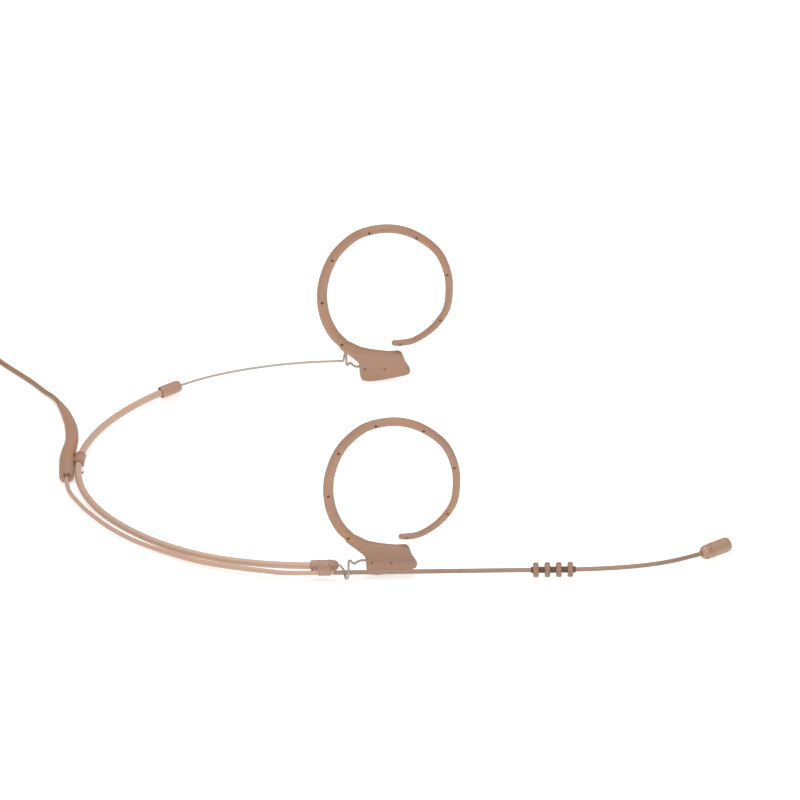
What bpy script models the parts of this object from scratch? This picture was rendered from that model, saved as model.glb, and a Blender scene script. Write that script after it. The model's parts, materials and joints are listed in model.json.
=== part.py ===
"""Headset microphone: a neckband with two sliding ear hooks and a sliding, rolling boom microphone.

The headset stands on a table in its worn shape. +X points the way the boom runs, +Y is the ear hook
without the boom, +Z is up, and the origin is under the middle of the headset on the table.
Lengths below are millimetres times MM, so every value in the model is in metres.
"""

import math

import bmesh
import bpy
from mathutils import Matrix, Vector

MM = 0.001
# Loose corners closer than this are the same corner.
WELD = 0.002 * MM

# The neckband lies in a plane that rises from its back to the ears.
BACK = Vector((-120.0, 0.0, 2.8)) * MM
BAND_TILT = math.radians(2.0)
# Arcs of half the neckband, from the middle of its back: radius, and heading at the arc's end in degrees.
NECK_ARCS = ((46.0, 22.0), (59.0, 40.0), (92.0, 75.0), (140.0, 90.0))
FAR, NEAR = 1, -1

BAND_R = 1.3 * MM
BAND_BORE_R = 0.95 * MM
WIRE_R = 0.475 * MM
WIRE_STOP_R = 0.78 * MM

# Sleeves at the neckband's ends: heading at the middle, and half the length.
FAR_SLEEVE_HEADING = 58.2
FAR_SLEEVE_HALF = 4.3 * MM
NEAR_SLEEVE_HEADING = 89.3
NEAR_SLEEVE_HALF = 5.3 * MM
BUSH_R = 1.38 * MM
BUSH_BORE_R = 0.6 * MM

# Ear hooks: the wire's end lies along X in the middle of each pad, and the hook folds about it.
HOOK_Y = 64.1 * MM
HOOK_AXIS_Z = 6.1 * MM
NEAR_HOOK_SHIFT = 2.6 * MM
PAD_THICKNESS = 3.0 * MM
PAD_BEVEL = 0.55 * MM
LOOP_CORE_R = 0.5 * MM
LOOP_BORE_R = 0.6 * MM
PIN_HOLE_R = 0.45 * MM
SOCKET_R = 0.9 * MM
SOCKET_BORE_R = 0.55 * MM
SOCKET_X = (108.0, 119.5)

# Boom: a straight line that turns in towards the mouth at its front.
BOOM_R = 0.88 * MM
BOOM_BORE_R = 0.67 * MM
BOOM_TAIL_R = 0.6 * MM
BOOM_TAIL_BORE_R = 0.37 * MM
SIGNAL_R = 0.3 * MM
SHEATH_R = 0.9 * MM
BOOM_Z = 5.95 * MM
BOOM_LINE_START = Vector((84.6, -72.3, 0.0)) * MM
BOOM_HEADING = math.radians(1.35)
BOOM_REAR_X = 97.4
TAIL_X = (84.2, 112.0)

CAPSULE_HEADING = math.radians(32.4)
CAPSULE_CENTRE = Vector((242.3, -56.2, 5.95)) * MM

CORD_R = 0.95 * MM
COIL_CENTRE = Vector((-50.0, 73.3, 0.0)) * MM
COIL_MEAN_R = 13.0 * MM
COIL_COLUMNS = 4
COIL_LAYERS = 4
COIL_LIFT = 0.5 * MM
# Where the cord joins the coil along its side, its plain tube stops this far short.
COIL_GRAZE = 8.6 * MM
CONNECTOR_R = 4.85 * MM
CONNECTOR_START = Vector((-66.0, 53.0, 4.95)) * MM

SKIN = (0.57, 0.39, 0.31)
SKIN_LIGHT = (0.66, 0.48, 0.39)
HOOK_SKIN = (0.45, 0.29, 0.21)
BOOM_SKIN = (0.44, 0.29, 0.22)
CORE_BROWN = (0.16, 0.11, 0.06)
WIRE_GREY = (0.56, 0.50, 0.45)
STEEL = (0.60, 0.60, 0.60)
BRASS = (0.70, 0.55, 0.28)
COPPER = (0.72, 0.42, 0.28)
BLACK = (0.03, 0.03, 0.03)
NYLON = (0.75, 0.71, 0.64)


# ---------------------------------------------------------------- scene and materials

for leftover in list(bpy.data.objects):
    bpy.data.objects.remove(leftover)

parts = bpy.data.collections.new("headset_microphone")
cutters = bpy.data.collections.new("cutters")
bpy.context.scene.collection.children.link(parts)
bpy.context.scene.collection.children.link(cutters)


def material(name, colour, roughness, metallic=0.0):
    made = bpy.data.materials.new(name)
    made.use_nodes = True
    shader = made.node_tree.nodes["Principled BSDF"]
    shader.inputs["Base Color"].default_value = (*colour, 1.0)
    shader.inputs["Roughness"].default_value = roughness
    shader.inputs["Metallic"].default_value = metallic
    return made


# ---------------------------------------------------------------- places

BAND_FRAME = Matrix.Translation(BACK) @ Matrix.Rotation(-BAND_TILT, 4, "Y")


def headset(x, y, z):
    """A point given in millimetres from the neckband's back, in world metres."""
    return Vector((BACK.x + x * MM, y * MM, z * MM))


def neck_place(heading, side):
    """The neckband's centre line: its place, and the way it runs, at a heading in degrees."""
    x = y = 0.0
    start = 0.0
    for radius, end in NECK_ARCS:
        stop = heading if radius == NECK_ARCS[-1][0] else min(end, heading)
        a, b = math.radians(start), math.radians(stop)
        x += radius * (math.cos(a) - math.cos(b))
        y += radius * (math.sin(b) - math.sin(a))
        if heading <= end:
            break
        start = end
    turn = math.radians(heading)
    point = BAND_FRAME @ (Vector((x, side * y, 0.0)) * MM)
    along = BAND_FRAME.to_3x3() @ Vector((math.sin(turn), side * math.cos(turn), 0.0))
    return point, along


def arc_centre(end_heading, radius, side):
    """The centre of the neckband's arc that ends at this heading."""
    point, along = neck_place(end_heading, side)
    up = BAND_FRAME.to_3x3() @ Vector((0.0, 0.0, 1.0))
    return point + along.cross(up) * side * radius


def boom_point(x):
    """A point on the boom's straight line, x millimetres from the neckband's back."""
    run = x * MM - BOOM_LINE_START.x
    y = BOOM_LINE_START.y + run * math.tan(BOOM_HEADING)
    return Vector((BACK.x + x * MM, y, BOOM_Z))


BOOM_ALONG = Vector((math.cos(BOOM_HEADING), math.sin(BOOM_HEADING), 0.0))
CAPSULE_ALONG = Vector((math.cos(CAPSULE_HEADING), math.sin(CAPSULE_HEADING), 0.0))
CAPSULE_PLACE = CAPSULE_CENTRE + Vector((BACK.x, 0.0, 0.0))


def smooth(points, per_span):
    """Points along a Catmull-Rom curve through these points."""
    ends = [2 * points[0] - points[1], *points, 2 * points[-1] - points[-2]]
    route = []
    for a, b, c, d in zip(ends, ends[1:], ends[2:], ends[3:]):
        for step in range(per_span):
            t = step / per_span
            bend = (2 * a - 5 * b + 4 * c - d) * t**2 + (3 * b - a - 3 * c + d) * t**3
            route.append(0.5 * (2 * b + (c - a) * t + bend))
    return [*route, points[-1].copy()]


def trimmed(route, at_start, at_end):
    """The route with its ends moved along it, outwards where the amount is positive."""
    first = route[0] + (route[0] - route[1]).normalized() * at_start
    last = route[-1] + (route[-1] - route[-2]).normalized() * at_end
    return [first, *route[1:-1], last]


# ---------------------------------------------------------------- building blocks


def add(name, data, collection=parts):
    made = bpy.data.objects.new(name, data)
    collection.objects.link(made)
    if collection is cutters:
        made.hide_render = True
        made.display_type = "WIRE"
    return made


def pivot(name, place, parent=None):
    """An empty on a joint's axis, which carries the pieces that move with it."""
    made = bpy.data.objects.new(name, None)
    parts.objects.link(made)
    made.location = place
    bpy.context.view_layer.update()
    if parent:
        carry(parent, made)
    return made


def carry(parent, *pieces):
    """Parents pieces to an empty and keeps them where they are."""
    bpy.context.view_layer.update()
    for piece in pieces:
        piece.parent = parent
        piece.matrix_parent_inverse = parent.matrix_world.inverted()
    bpy.context.view_layer.update()


def smooth_shaded(mesh):
    mesh.shade_smooth()
    mesh.set_sharp_from_angle(angle=math.radians(35))


def wire_curve(name, route, radius, widths=None, resolution=2, collection=parts):
    """A round wire along the route. widths scale the radius at each point."""
    curve = bpy.data.curves.new(name, "CURVE")
    curve.dimensions = "3D"
    curve.bevel_depth = radius
    curve.bevel_resolution = resolution
    curve.use_fill_caps = True
    spline = curve.splines.new("POLY")
    spline.points.add(len(route) - 1)
    spline.use_smooth = True
    for number, (point, place) in enumerate(zip(spline.points, route)):
        point.co = (*place, 1.0)
        point.radius = widths[number] if widths else 1.0
    return add(name, curve, collection)


def as_mesh(source, collection=parts):
    """The curve as a closed mesh, with its caps welded to its sides."""
    bpy.context.view_layer.update()
    name = source.name
    evaluated = source.evaluated_get(bpy.context.evaluated_depsgraph_get())
    mesh = bpy.data.meshes.new_from_object(evaluated)
    work = bmesh.new()
    work.from_mesh(mesh)
    bmesh.ops.remove_doubles(work, verts=work.verts, dist=WELD)
    bmesh.ops.recalc_face_normals(work, faces=work.faces)
    work.to_mesh(mesh)
    work.free()
    place = source.matrix_world.copy()
    bpy.data.objects.remove(source)
    made = add(name, mesh, collection)
    made.matrix_world = place
    smooth_shaded(mesh)
    return made


def wire(name, route, radius, widths=None, resolution=2, collection=parts):
    return as_mesh(wire_curve(name, route, radius, widths, resolution, collection), collection)


def boolean(target, tool, operation):
    cut = target.modifiers.new(operation.lower(), "BOOLEAN")
    cut.operation = operation
    cut.object = tool


def tube(name, route, radius, bore, resolution=2, bore_resolution=2, overrun=1.0 * MM):
    """A hollow wire, open at both ends."""
    made = wire(name, route, radius, resolution=resolution)
    hole = wire(
        f"{name}_bore", trimmed(route, overrun, overrun), bore, resolution=bore_resolution, collection=cutters
    )
    boolean(made, hole, "DIFFERENCE")
    return made


def turned(name, profile, place, along, steps=20, collection=parts):
    """A turned piece. The profile is (radius, height) in millimetres, down its outer side."""
    mesh = bpy.data.meshes.new(name)
    work = bmesh.new()
    corners = [work.verts.new((r * MM, 0.0, h * MM)) for r, h in profile]
    for first, second in zip(corners, corners[1:]):
        work.edges.new((first, second))
    if profile[0][0] > 0:
        work.edges.new((corners[-1], corners[0]))
    work.to_mesh(mesh)
    work.free()
    made = add(name, mesh, collection)
    made.location = place
    made.rotation_mode = "QUATERNION"
    made.rotation_quaternion = Vector(along).to_track_quat("Z", "X")
    screw = made.modifiers.new("turn", "SCREW")
    screw.steps = screw.render_steps = steps
    screw.use_merge_vertices = True
    screw.merge_threshold = 0.000001
    screw.use_smooth_shade = True
    return made


def ring(name, inner, outer, low, high, place, along, steps=20, edge=0.0, collection=parts):
    """A turned ring between two radii and two heights in millimetres, with its outer edges eased."""
    side = [(outer, high), (outer, low)]
    if edge:
        side = [(outer - edge, high), (outer, high - edge), (outer, low + edge), (outer - edge, low)]
    return turned(name, [(inner, high), *side, (inner, low)], place, along, steps, collection)


def rod(name, radius, low, high, place, along, steps=12, collection=parts):
    """A turned rod between two heights in millimetres."""
    profile = [(0, high), (radius, high), (radius, low), (0, low)]
    return turned(name, profile, place, along, steps, collection)


def plate(name, outline, thickness, collection=parts):
    """A flat plate from an outline in metres, in the XY plane, with its thickness along Z."""
    curve = bpy.data.curves.new(name, "CURVE")
    curve.dimensions = "2D"
    curve.fill_mode = "BOTH"
    curve.extrude = thickness / 2
    spline = curve.splines.new("POLY")
    spline.points.add(len(outline) - 1)
    spline.use_cyclic_u = True
    for point, (x, y) in zip(spline.points, outline):
        point.co = (x, y, 0.0, 1.0)
    return as_mesh(add(name, curve, collection), collection)


def block(name, size, place, rotation=(0.0, 0.0, 0.0), edge=0.0, collection=parts):
    """A box of this size in metres, centred on place."""
    mesh = bpy.data.meshes.new(name)
    work = bmesh.new()
    bmesh.ops.create_cube(work, size=1.0)
    bmesh.ops.scale(work, vec=size, verts=work.verts)
    work.to_mesh(mesh)
    work.free()
    made = add(name, mesh, collection)
    made.location = place
    made.rotation_euler = rotation
    if edge:
        ease(made, edge)
    return made


def ease(piece, width, segments=2):
    """Rounds a piece's edges."""
    bevel = piece.modifiers.new("ease", "BEVEL")
    bevel.width = width
    bevel.segments = segments
    bevel.limit_method = "ANGLE"
    bevel.angle_limit = math.radians(40)


def paint(made, *pieces):
    for piece in pieces:
        piece.data.materials.clear()
        piece.data.materials.append(made)


# ---------------------------------------------------------------- neckband

UP = BAND_FRAME.to_3x3() @ Vector((0.0, 0.0, 1.0))


def neck_route(headings, side):
    return [neck_place(heading, side)[0] for heading in headings]


def degrees(first, last, count):
    return [first + (last - first) * n / (count - 1) for n in range(count)]


def build_neckband():
    far_half = neck_route(degrees(0.0, FAR_SLEEVE_HEADING + 0.5, 12), FAR)
    near_half = neck_route(degrees(0.0, 68.0, 14) + degrees(72.0, NEAR_SLEEVE_HEADING, 5), NEAR)
    route = [*reversed(far_half), *near_half[1:]]
    band = tube("neckband_tube", route, BAND_R, BAND_BORE_R, bore_resolution=1)
    paint(material("band_plastic", SKIN_LIGHT, 0.42), band)
    return [band]


def sleeve_bore(front, seat, half):
    """The inside of a sleeve, from its front hole down to its open rear, as (radius, height)."""
    return [(1.52, seat), (1.52, 1.0), (1.52, -half + 0.9), (1.9, -half + 0.9), (1.9, -half)][::-1] + [
        (1.52, seat + 0.3),
        (0.75, seat + 0.3),
        (0.75, front),
    ]


def build_far_sleeve():
    place, along = neck_place(FAR_SLEEVE_HEADING, FAR)
    half = FAR_SLEEVE_HALF / MM
    outside = [(1.75, half), (2.2, half - 0.7), (2.32, half - 1.3), (2.32, 0.3 - half), (2.2, -half)]
    inside = sleeve_bore(half, 3.3, half)[:-1]
    sleeve = turned("far_sleeve", [(0.75, half), *outside, *inside], place, along, 18)
    bush = ring("far_sleeve_bush", BUSH_BORE_R / MM, BUSH_R / MM, 1.3, 3.4, place, along, 16)
    paint(material("sleeve_plastic", SKIN, 0.5), sleeve)
    paint(material("bush_nylon", NYLON, 0.5), bush)
    return [sleeve, bush]


def build_near_sleeve():
    place, along = neck_place(NEAR_SLEEVE_HEADING, NEAR)
    half = NEAR_SLEEVE_HALF / MM
    nose = [(1.1, half), (1.6, half - 0.45), (1.98, half - 1.2), (2.15, half - 2.1), (2.2, half - 3.0)]
    outside = [*nose, (2.2, 0.5 - half), (2.0, -half)]
    inside = sleeve_bore(half, 3.9, half)[:-1]
    sleeve = turned("near_sleeve", [(0.75, half), *outside, *inside], place, along, 18)
    clip_middle = boom_point(94.0)
    clip = rod("near_sleeve_clip", 1.3, -2.5, 2.4, clip_middle, BOOM_ALONG, 16, collection=cutters)
    web_middle = (clip_middle + place) / 2 + Vector((0.0, -0.5, 0.0)) * MM
    web_middle.x = clip_middle.x
    web = block("near_sleeve_web", (4.6 * MM, 2.3 * MM, 2.0 * MM), web_middle, collection=cutters)
    channel = rod("near_sleeve_channel", 0.97, -6.0, 6.0, clip_middle, BOOM_ALONG, 16, collection=cutters)
    boolean(sleeve, web, "UNION")
    boolean(sleeve, clip, "UNION")
    boolean(sleeve, channel, "DIFFERENCE")
    bush = ring("near_sleeve_bush", BUSH_BORE_R / MM, BUSH_R / MM, 1.2, 4.0, place, along, 16)
    paint(bpy.data.materials["sleeve_plastic"], sleeve)
    paint(bpy.data.materials["bush_nylon"], bush)
    return [sleeve, bush]


# ---------------------------------------------------------------- boom sheath and boot

# The sheath runs outside the neckband from the boot to the near sleeve's clip.
SHEATH_PLACES = (
    (-4.3, -1.5),
    (-4.2, -8.0),
    (-3.0, -14.5),
    (0.9, -22.6),
    (5.1, -29.4),
    (13.4, -39.9),
    (25.3, -50.3),
    (45.1, -61.9),
    (60.9, -67.3),
    (72.3, -70.25),
    (77.8, -71.5),
)
# The boot's middle line, and half its width there.
BOOT_PLACES = (
    (-4.35, -5.3, 2.45),
    (-4.35, -4.3, 2.8),
    (-4.35, 0.5, 2.95),
    (-4.3, 7.0, 2.95),
    (-3.75, 12.0, 2.8),
    (-2.9, 17.0, 2.6),
    (-2.5, 22.0, 2.55),
    (-2.75, 27.5, 2.45),
    (-3.8, 33.3, 2.15),
    (-5.3, 38.8, 1.75),
    (-7.5, 44.6, 1.2),
)
BOOT_HEIGHT_SHARE = 0.88
# A finger of the band clip that reaches under the neckband tube and up its inner side: (x, y, z).
CLIP_FINGER = ((-0.35, 4.8, 1.25), (-0.35, 3.0, 0.98), (0.4, 1.2, 0.85), (1.55, 0.0, 1.5), (2.0, -0.4, 2.5))


def sheath_route():
    rise = math.tan(BAND_TILT)
    places = [headset(x, y, BACK.z / MM + x * rise) for x, y in SHEATH_PLACES]
    straight = [boom_point(x) for x in (83.0, 90.0, 96.6)]
    return [*smooth([*places, straight[0]], 2), *straight[1:]]


def build_sheath():
    route = sheath_route()
    sheath = tube("boom_sheath", route, SHEATH_R, BOOM_BORE_R)
    curved = route[:-3]
    core = wire("sheath_signal_core", trimmed(curved, 1.2 * MM, -1.5 * MM), SIGNAL_R, resolution=1)
    paint(material("sheath_rubber", SKIN_LIGHT, 0.38), sheath)
    paint(material("signal_copper", COPPER, 0.35, 1.0), core)
    return [sheath, core]


def boot_route():
    return [headset(x, y, 0.0) for x, y, _ in BOOT_PLACES]


def flattened(piece, height):
    """Squeezes a piece made in the floor's plane to the boot's oval section, and lifts it to the height."""
    piece.data.transform(Matrix.Diagonal((1.0, 1.0, BOOT_HEIGHT_SHARE, 1.0)))
    piece.data.transform(Matrix.Translation((0.0, 0.0, height)))


def build_boot():
    route = boot_route()
    halves = [half for _, _, half in BOOT_PLACES]
    height = BACK.z - 0.15 * MM
    shell = wire("boot_shell", route, 1.0 * MM, halves, resolution=4)
    flattened(shell, height)
    inside = [max(0.75, half - 0.9) for half in halves]
    inside[0] = 1.45
    inside[1] = 1.45
    hollow = wire("boot_hollow", trimmed(route, 1.0 * MM, 1.0 * MM), 1.0 * MM, inside, collection=cutters)
    flattened(hollow, height)
    boolean(shell, hollow, "DIFFERENCE")
    pocket_place = headset(-2.5, 6.8, height / MM)
    pocket = block("boot_clip_pocket", (3.0 * MM, 3.4 * MM, 2.0 * MM), pocket_place, collection=cutters)
    seat_place = headset(-0.9, 6.8, height / MM)
    seat = block("boot_clip_seat", (2.0 * MM, 6.7 * MM, 6.0 * MM), seat_place, collection=cutters)
    boolean(shell, pocket, "DIFFERENCE")
    boolean(shell, seat, "DIFFERENCE")
    ferrule_place = headset(-4.35, 2.6, height / MM)
    ferrule = ring("boot_crimp_ferrule", 0.98, 1.3, -2.6, 1.5, ferrule_place, (0, -1, 0), 16)
    anchor_place = headset(-2.6, 20.5, height / MM)
    anchor = ring("cord_anchor_sleeve", 0.5, 1.1, -2.5, 2.5, anchor_place, (0.06, 1, 0), 12)
    paint(material("boot_rubber", HOOK_SKIN, 0.55), shell)
    paint(material("crimp_brass", BRASS, 0.35, 1.0), ferrule, anchor)
    return [shell, ferrule, anchor]


def build_band_clip():
    """A C-shaped clip that holds the neckband tube beside the boot, with a stem in the boot's side."""
    turn = math.radians(8.4)
    outer = [(2.12 * math.cos(a), 2.12 * math.sin(a)) for a in map(math.radians, range(-30, 246, 25))]
    inner = [(1.5 * math.cos(a), 1.5 * math.sin(a)) for a in map(math.radians, range(245, -31, -25))]
    outline = [(x * MM, y * MM) for x, y in [*outer, *inner]]
    clip = plate("band_clip", outline, 6.0 * MM)
    clip.rotation_euler = (math.radians(90), 0.0, -turn)
    clip.location = headset(0.54, 6.8, BACK.z / MM + 0.02)
    bpy.context.view_layer.update()
    stem_place = headset(-1.9, 6.8, BACK.z / MM - 0.15)
    stem = block("band_clip_stem", (1.7 * MM, 3.0 * MM, 1.6 * MM), stem_place, collection=cutters)
    boolean(clip, stem, "UNION")
    finger_route = [headset(*place) for place in CLIP_FINGER]
    finger = wire("band_clip_finger", smooth(finger_route, 3), 0.42 * MM, collection=cutters)
    boolean(clip, finger, "UNION")
    paint(bpy.data.materials["boot_rubber"], clip)
    return [clip]


# ---------------------------------------------------------------- ear hooks

# The hook wire beyond the neckband: out round the boom, back over it, a kink, and into the pad.
# Each place is (x, distance from the middle plane, height), on the far side.
EYE_PLACES = (
    (99.6, 67.65, 6.3),
    (100.6, 68.9, 5.3),
    (101.0, 71.0, 4.45),
    (101.3, 73.8, 4.5),
    (101.7, 75.4, 5.6),
    (102.0, 75.4, 6.9),
    (102.1, 73.8, 7.6),
    (102.1, 70.5, 7.6),
    (102.1, 66.8, 7.0),
    (102.2, 65.1, 6.6),
    (102.7, 64.9, 6.4),
    (103.3, 66.2, 6.3),
    (103.9, 66.4, 6.2),
    (104.6, 65.1, 6.1),
    (105.7, 64.2, 6.1),
    (107.5, 64.1, 6.1),
)
# The loop's middle line in the hook's own plane, from the pad round to its free tip, and its half width.
LOOP_PLACES = (
    (105.5, 12.2, 1.5),
    (100.9, 17.0, 2.0),
    (97.2, 21.6, 2.1),
    (94.2, 28.7, 2.1),
    (92.9, 36.5, 2.05),
    (93.1, 43.5, 2.0),
    (94.6, 50.4, 1.95),
    (96.9, 56.3, 1.9),
    (100.1, 61.3, 1.85),
    (105.4, 66.6, 1.8),
    (110.9, 69.2, 1.75),
    (117.6, 70.3, 1.72),
    (124.0, 69.3, 1.7),
    (129.8, 66.4, 1.66),
    (135.1, 61.9, 1.6),
    (138.4, 57.0, 1.57),
    (140.7, 50.0, 1.54),
    (141.4, 42.8, 1.5),
    (140.6, 34.0, 1.45),
    (137.6, 27.6, 1.4),
    (133.3, 22.4, 1.32),
    (127.6, 18.3, 1.25),
    (122.8, 17.2, 1.25),
    (119.3, 17.2, 1.15),
)
PAD_OUTLINE = (
    (99.0, 16.2),
    (100.7, 14.0),
    (102.8, 12.2),
    (105.5, 9.7),
    (106.7, 8.2),
    (107.0, 6.7),
    (107.2, 3.4),
    (107.6, 1.3),
    (108.8, 0.25),
    (110.2, 0.0),
    (112.6, 0.0),
    (121.0, 1.7),
    (125.4, 2.9),
    (126.4, 3.9),
    (126.4, 5.2),
    (124.6, 8.5),
    (123.7, 11.4),
    (122.9, 12.7),
    (121.8, 13.1),
    (118.6, 12.9),
    (113.7, 13.4),
    (107.5, 14.8),
    (102.0, 18.0),
)
LOOP_HOLES = (
    (100.4, 17.5),
    (92.9, 37.0),
    (96.8, 56.6),
    (110.9, 69.2),
    (128.9, 66.9),
    (140.6, 49.8),
    (138.0, 28.5),
    (122.6, 17.3),
)
PAD_HOLES = ((109.2, 6.0), (116.7, 5.9))


def hook_point(x, z, shift, side):
    """A point in a hook's own plane, for a hook shifted along X."""
    return headset(x, side * HOOK_Y / MM, z) + Vector((shift, 0.0, 0.0))


def build_ear_loop(name, shift, side):
    """The soft hook: a tapering ring with a flat pad, moulded over the core wire and the socket."""
    line = [hook_point(x, z, shift, side) for x, z, _ in LOOP_PLACES]
    loop = wire(f"{name}_ear_loop", line, 1.0 * MM, [half for _, _, half in LOOP_PLACES])
    outline = [(x * MM, z * MM) for x, z in PAD_OUTLINE]
    pad = plate(f"{name}_pad", outline, PAD_THICKNESS, collection=cutters)
    pad.rotation_euler = (math.radians(90), 0.0, 0.0)
    pad.location = Vector((BACK.x + shift, side * HOOK_Y, 0.0))
    ease(pad, PAD_BEVEL, 1)
    boolean(loop, pad, "UNION")
    bore_line = core_line(shift, side, 0.4 * MM)
    bore = wire(f"{name}_loop_bore", bore_line, LOOP_BORE_R, resolution=1, collection=cutters)
    boolean(loop, bore, "DIFFERENCE")
    low, high = SOCKET_X
    socket_start = hook_point(low, HOOK_AXIS_Z / MM, shift, side)
    room_r = SOCKET_R / MM + 0.05
    room_end = high - low + 0.1
    socket_room = rod(f"{name}_socket_room", room_r, -2.0, room_end, socket_start, (1, 0, 0), 12, cutters)
    boolean(loop, socket_room, "DIFFERENCE")
    for number, (x, z) in enumerate([*LOOP_HOLES, *PAD_HOLES], 1):
        place = hook_point(x, z, shift, side)
        hole = rod(f"{name}_pin_hole_{number}", PIN_HOLE_R / MM, -3.5, 3.5, place, (0, 1, 0), 6, cutters)
        boolean(loop, hole, "DIFFERENCE")
    return loop


def core_line(shift, side, beyond):
    """The core wire's middle line, which stops short of the loop's tip and of the pad's socket."""
    line = [hook_point(x, z, shift, side) for x, z, _ in LOOP_PLACES]
    return trimmed(line[:-1], -1.0 * MM + beyond, beyond)


def build_hook(name, shift, side):
    loop = build_ear_loop(name, shift, side)
    core = wire(f"{name}_loop_core", core_line(shift, side, 0.0), LOOP_CORE_R, resolution=1)
    low, high = SOCKET_X
    socket = ring(
        f"{name}_pad_socket",
        SOCKET_BORE_R / MM,
        SOCKET_R / MM,
        0.0,
        high - low,
        hook_point(low, HOOK_AXIS_Z / MM, shift, side),
        (1, 0, 0),
        12,
    )
    paint(bpy.data.materials["hook_elastomer"], loop)
    paint(bpy.data.materials["spring_steel"], core)
    paint(bpy.data.materials["bush_nylon"], socket)
    return [loop, core, socket]


def build_hook_wire(name, headings, shift, side):
    """The wire that slides in the neckband, with its eye and its end in the pad, and its crimped stop."""
    inside = neck_route(headings, side)
    run = []
    for x, y, z in EYE_PLACES:
        # The eye takes up the pad's shift over its length.
        share = min(1.0, (x - 99.0) / 8.0)
        run.append(headset(x, side * y, z) + Vector((shift * share, 0.0, 0.0)))
    tip = hook_point(SOCKET_X[1] - 1.0, HOOK_AXIS_Z / MM, shift, side)
    made = wire(f"{name}_hook_wire", [*inside, *smooth(run, 2), tip], WIRE_R, resolution=1)
    stop_place = (inside[0] + inside[1]) / 2
    stop_along = inside[1] - inside[0]
    stop_bore = WIRE_R / MM + 0.03
    stop = ring(f"{name}_wire_stop", stop_bore, WIRE_STOP_R / MM, -0.7, 0.7, stop_place, stop_along, 10)
    paint(bpy.data.materials["wire_coat"], made)
    paint(bpy.data.materials["crimp_brass"], stop)
    return [made, stop]


# ---------------------------------------------------------------- boom and capsule

# The boom's front, from the end of its straight line to the capsule: (x, y).
BOOM_FRONT = (
    (198.0, -69.35),
    (206.0, -68.6),
    (213.5, -67.5),
    (220.3, -66.0),
    (226.4, -64.1),
    (232.2, -61.7),
    (237.6, -59.2),
)
SHIELD_DISCS = (174.1, 178.45, 182.8, 187.15)


def boom_route():
    straight = [boom_point(x) for x in (BOOM_REAR_X, 125.0, 150.0, 170.0)]
    front = [boom_point(190.0)] + [headset(x, y, BOOM_Z / MM) for x, y in BOOM_FRONT]
    return [*straight, *smooth(front, 2)]


def build_boom():
    route = boom_route()
    boom = tube("boom_tube", route, BOOM_R, BOOM_BORE_R)
    core_start = boom_point(TAIL_X[0] - 0.6)
    core = wire("boom_signal_core", [core_start, *trimmed(route[1:], 0.0, 0.8 * MM)], SIGNAL_R, resolution=1)
    paint(material("boom_rubber", BOOM_SKIN, 0.3), boom)
    paint(bpy.data.materials["signal_copper"], core)
    return [boom, core]


def build_tail():
    low, high = TAIL_X
    middle = boom_point(low)
    inner, outer = BOOM_TAIL_BORE_R / MM, BOOM_TAIL_R / MM
    tail = ring("boom_tail", inner, outer, 0.0, high - low, middle, BOOM_ALONG, 12)
    paint(bpy.data.materials["steel_tube"], tail)
    return [tail]


def build_shield():
    """The moisture shield: discs on a ribbed sleeve that keep sweat from running along the boom."""
    start = boom_point(172.2)
    profile = [(0.95, 17.0), (1.1, 17.0)]
    for number in range(4):
        profile += [(1.28, 16.2 - 4 * number), (1.28, 14.0 - 4 * number), (1.14, 13.2 - 4 * number)]
    sleeve = turned("shield_sleeve", [*profile, (1.1, 0.0), (0.95, 0.0)], start, BOOM_ALONG, 12)
    paint(material("shield_core_rubber", CORE_BROWN, 0.6), sleeve)
    discs = []
    for number, x in enumerate(SHIELD_DISCS, 1):
        disc = ring(f"shield_disc_{number}", 1.32, 2.88, -1.05, 1.05, boom_point(x), BOOM_ALONG, 20, 0.3)
        discs.append(disc)
    paint(material("shield_rubber", HOOK_SKIN, 0.5), *discs)
    return [sleeve, *discs]


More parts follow.
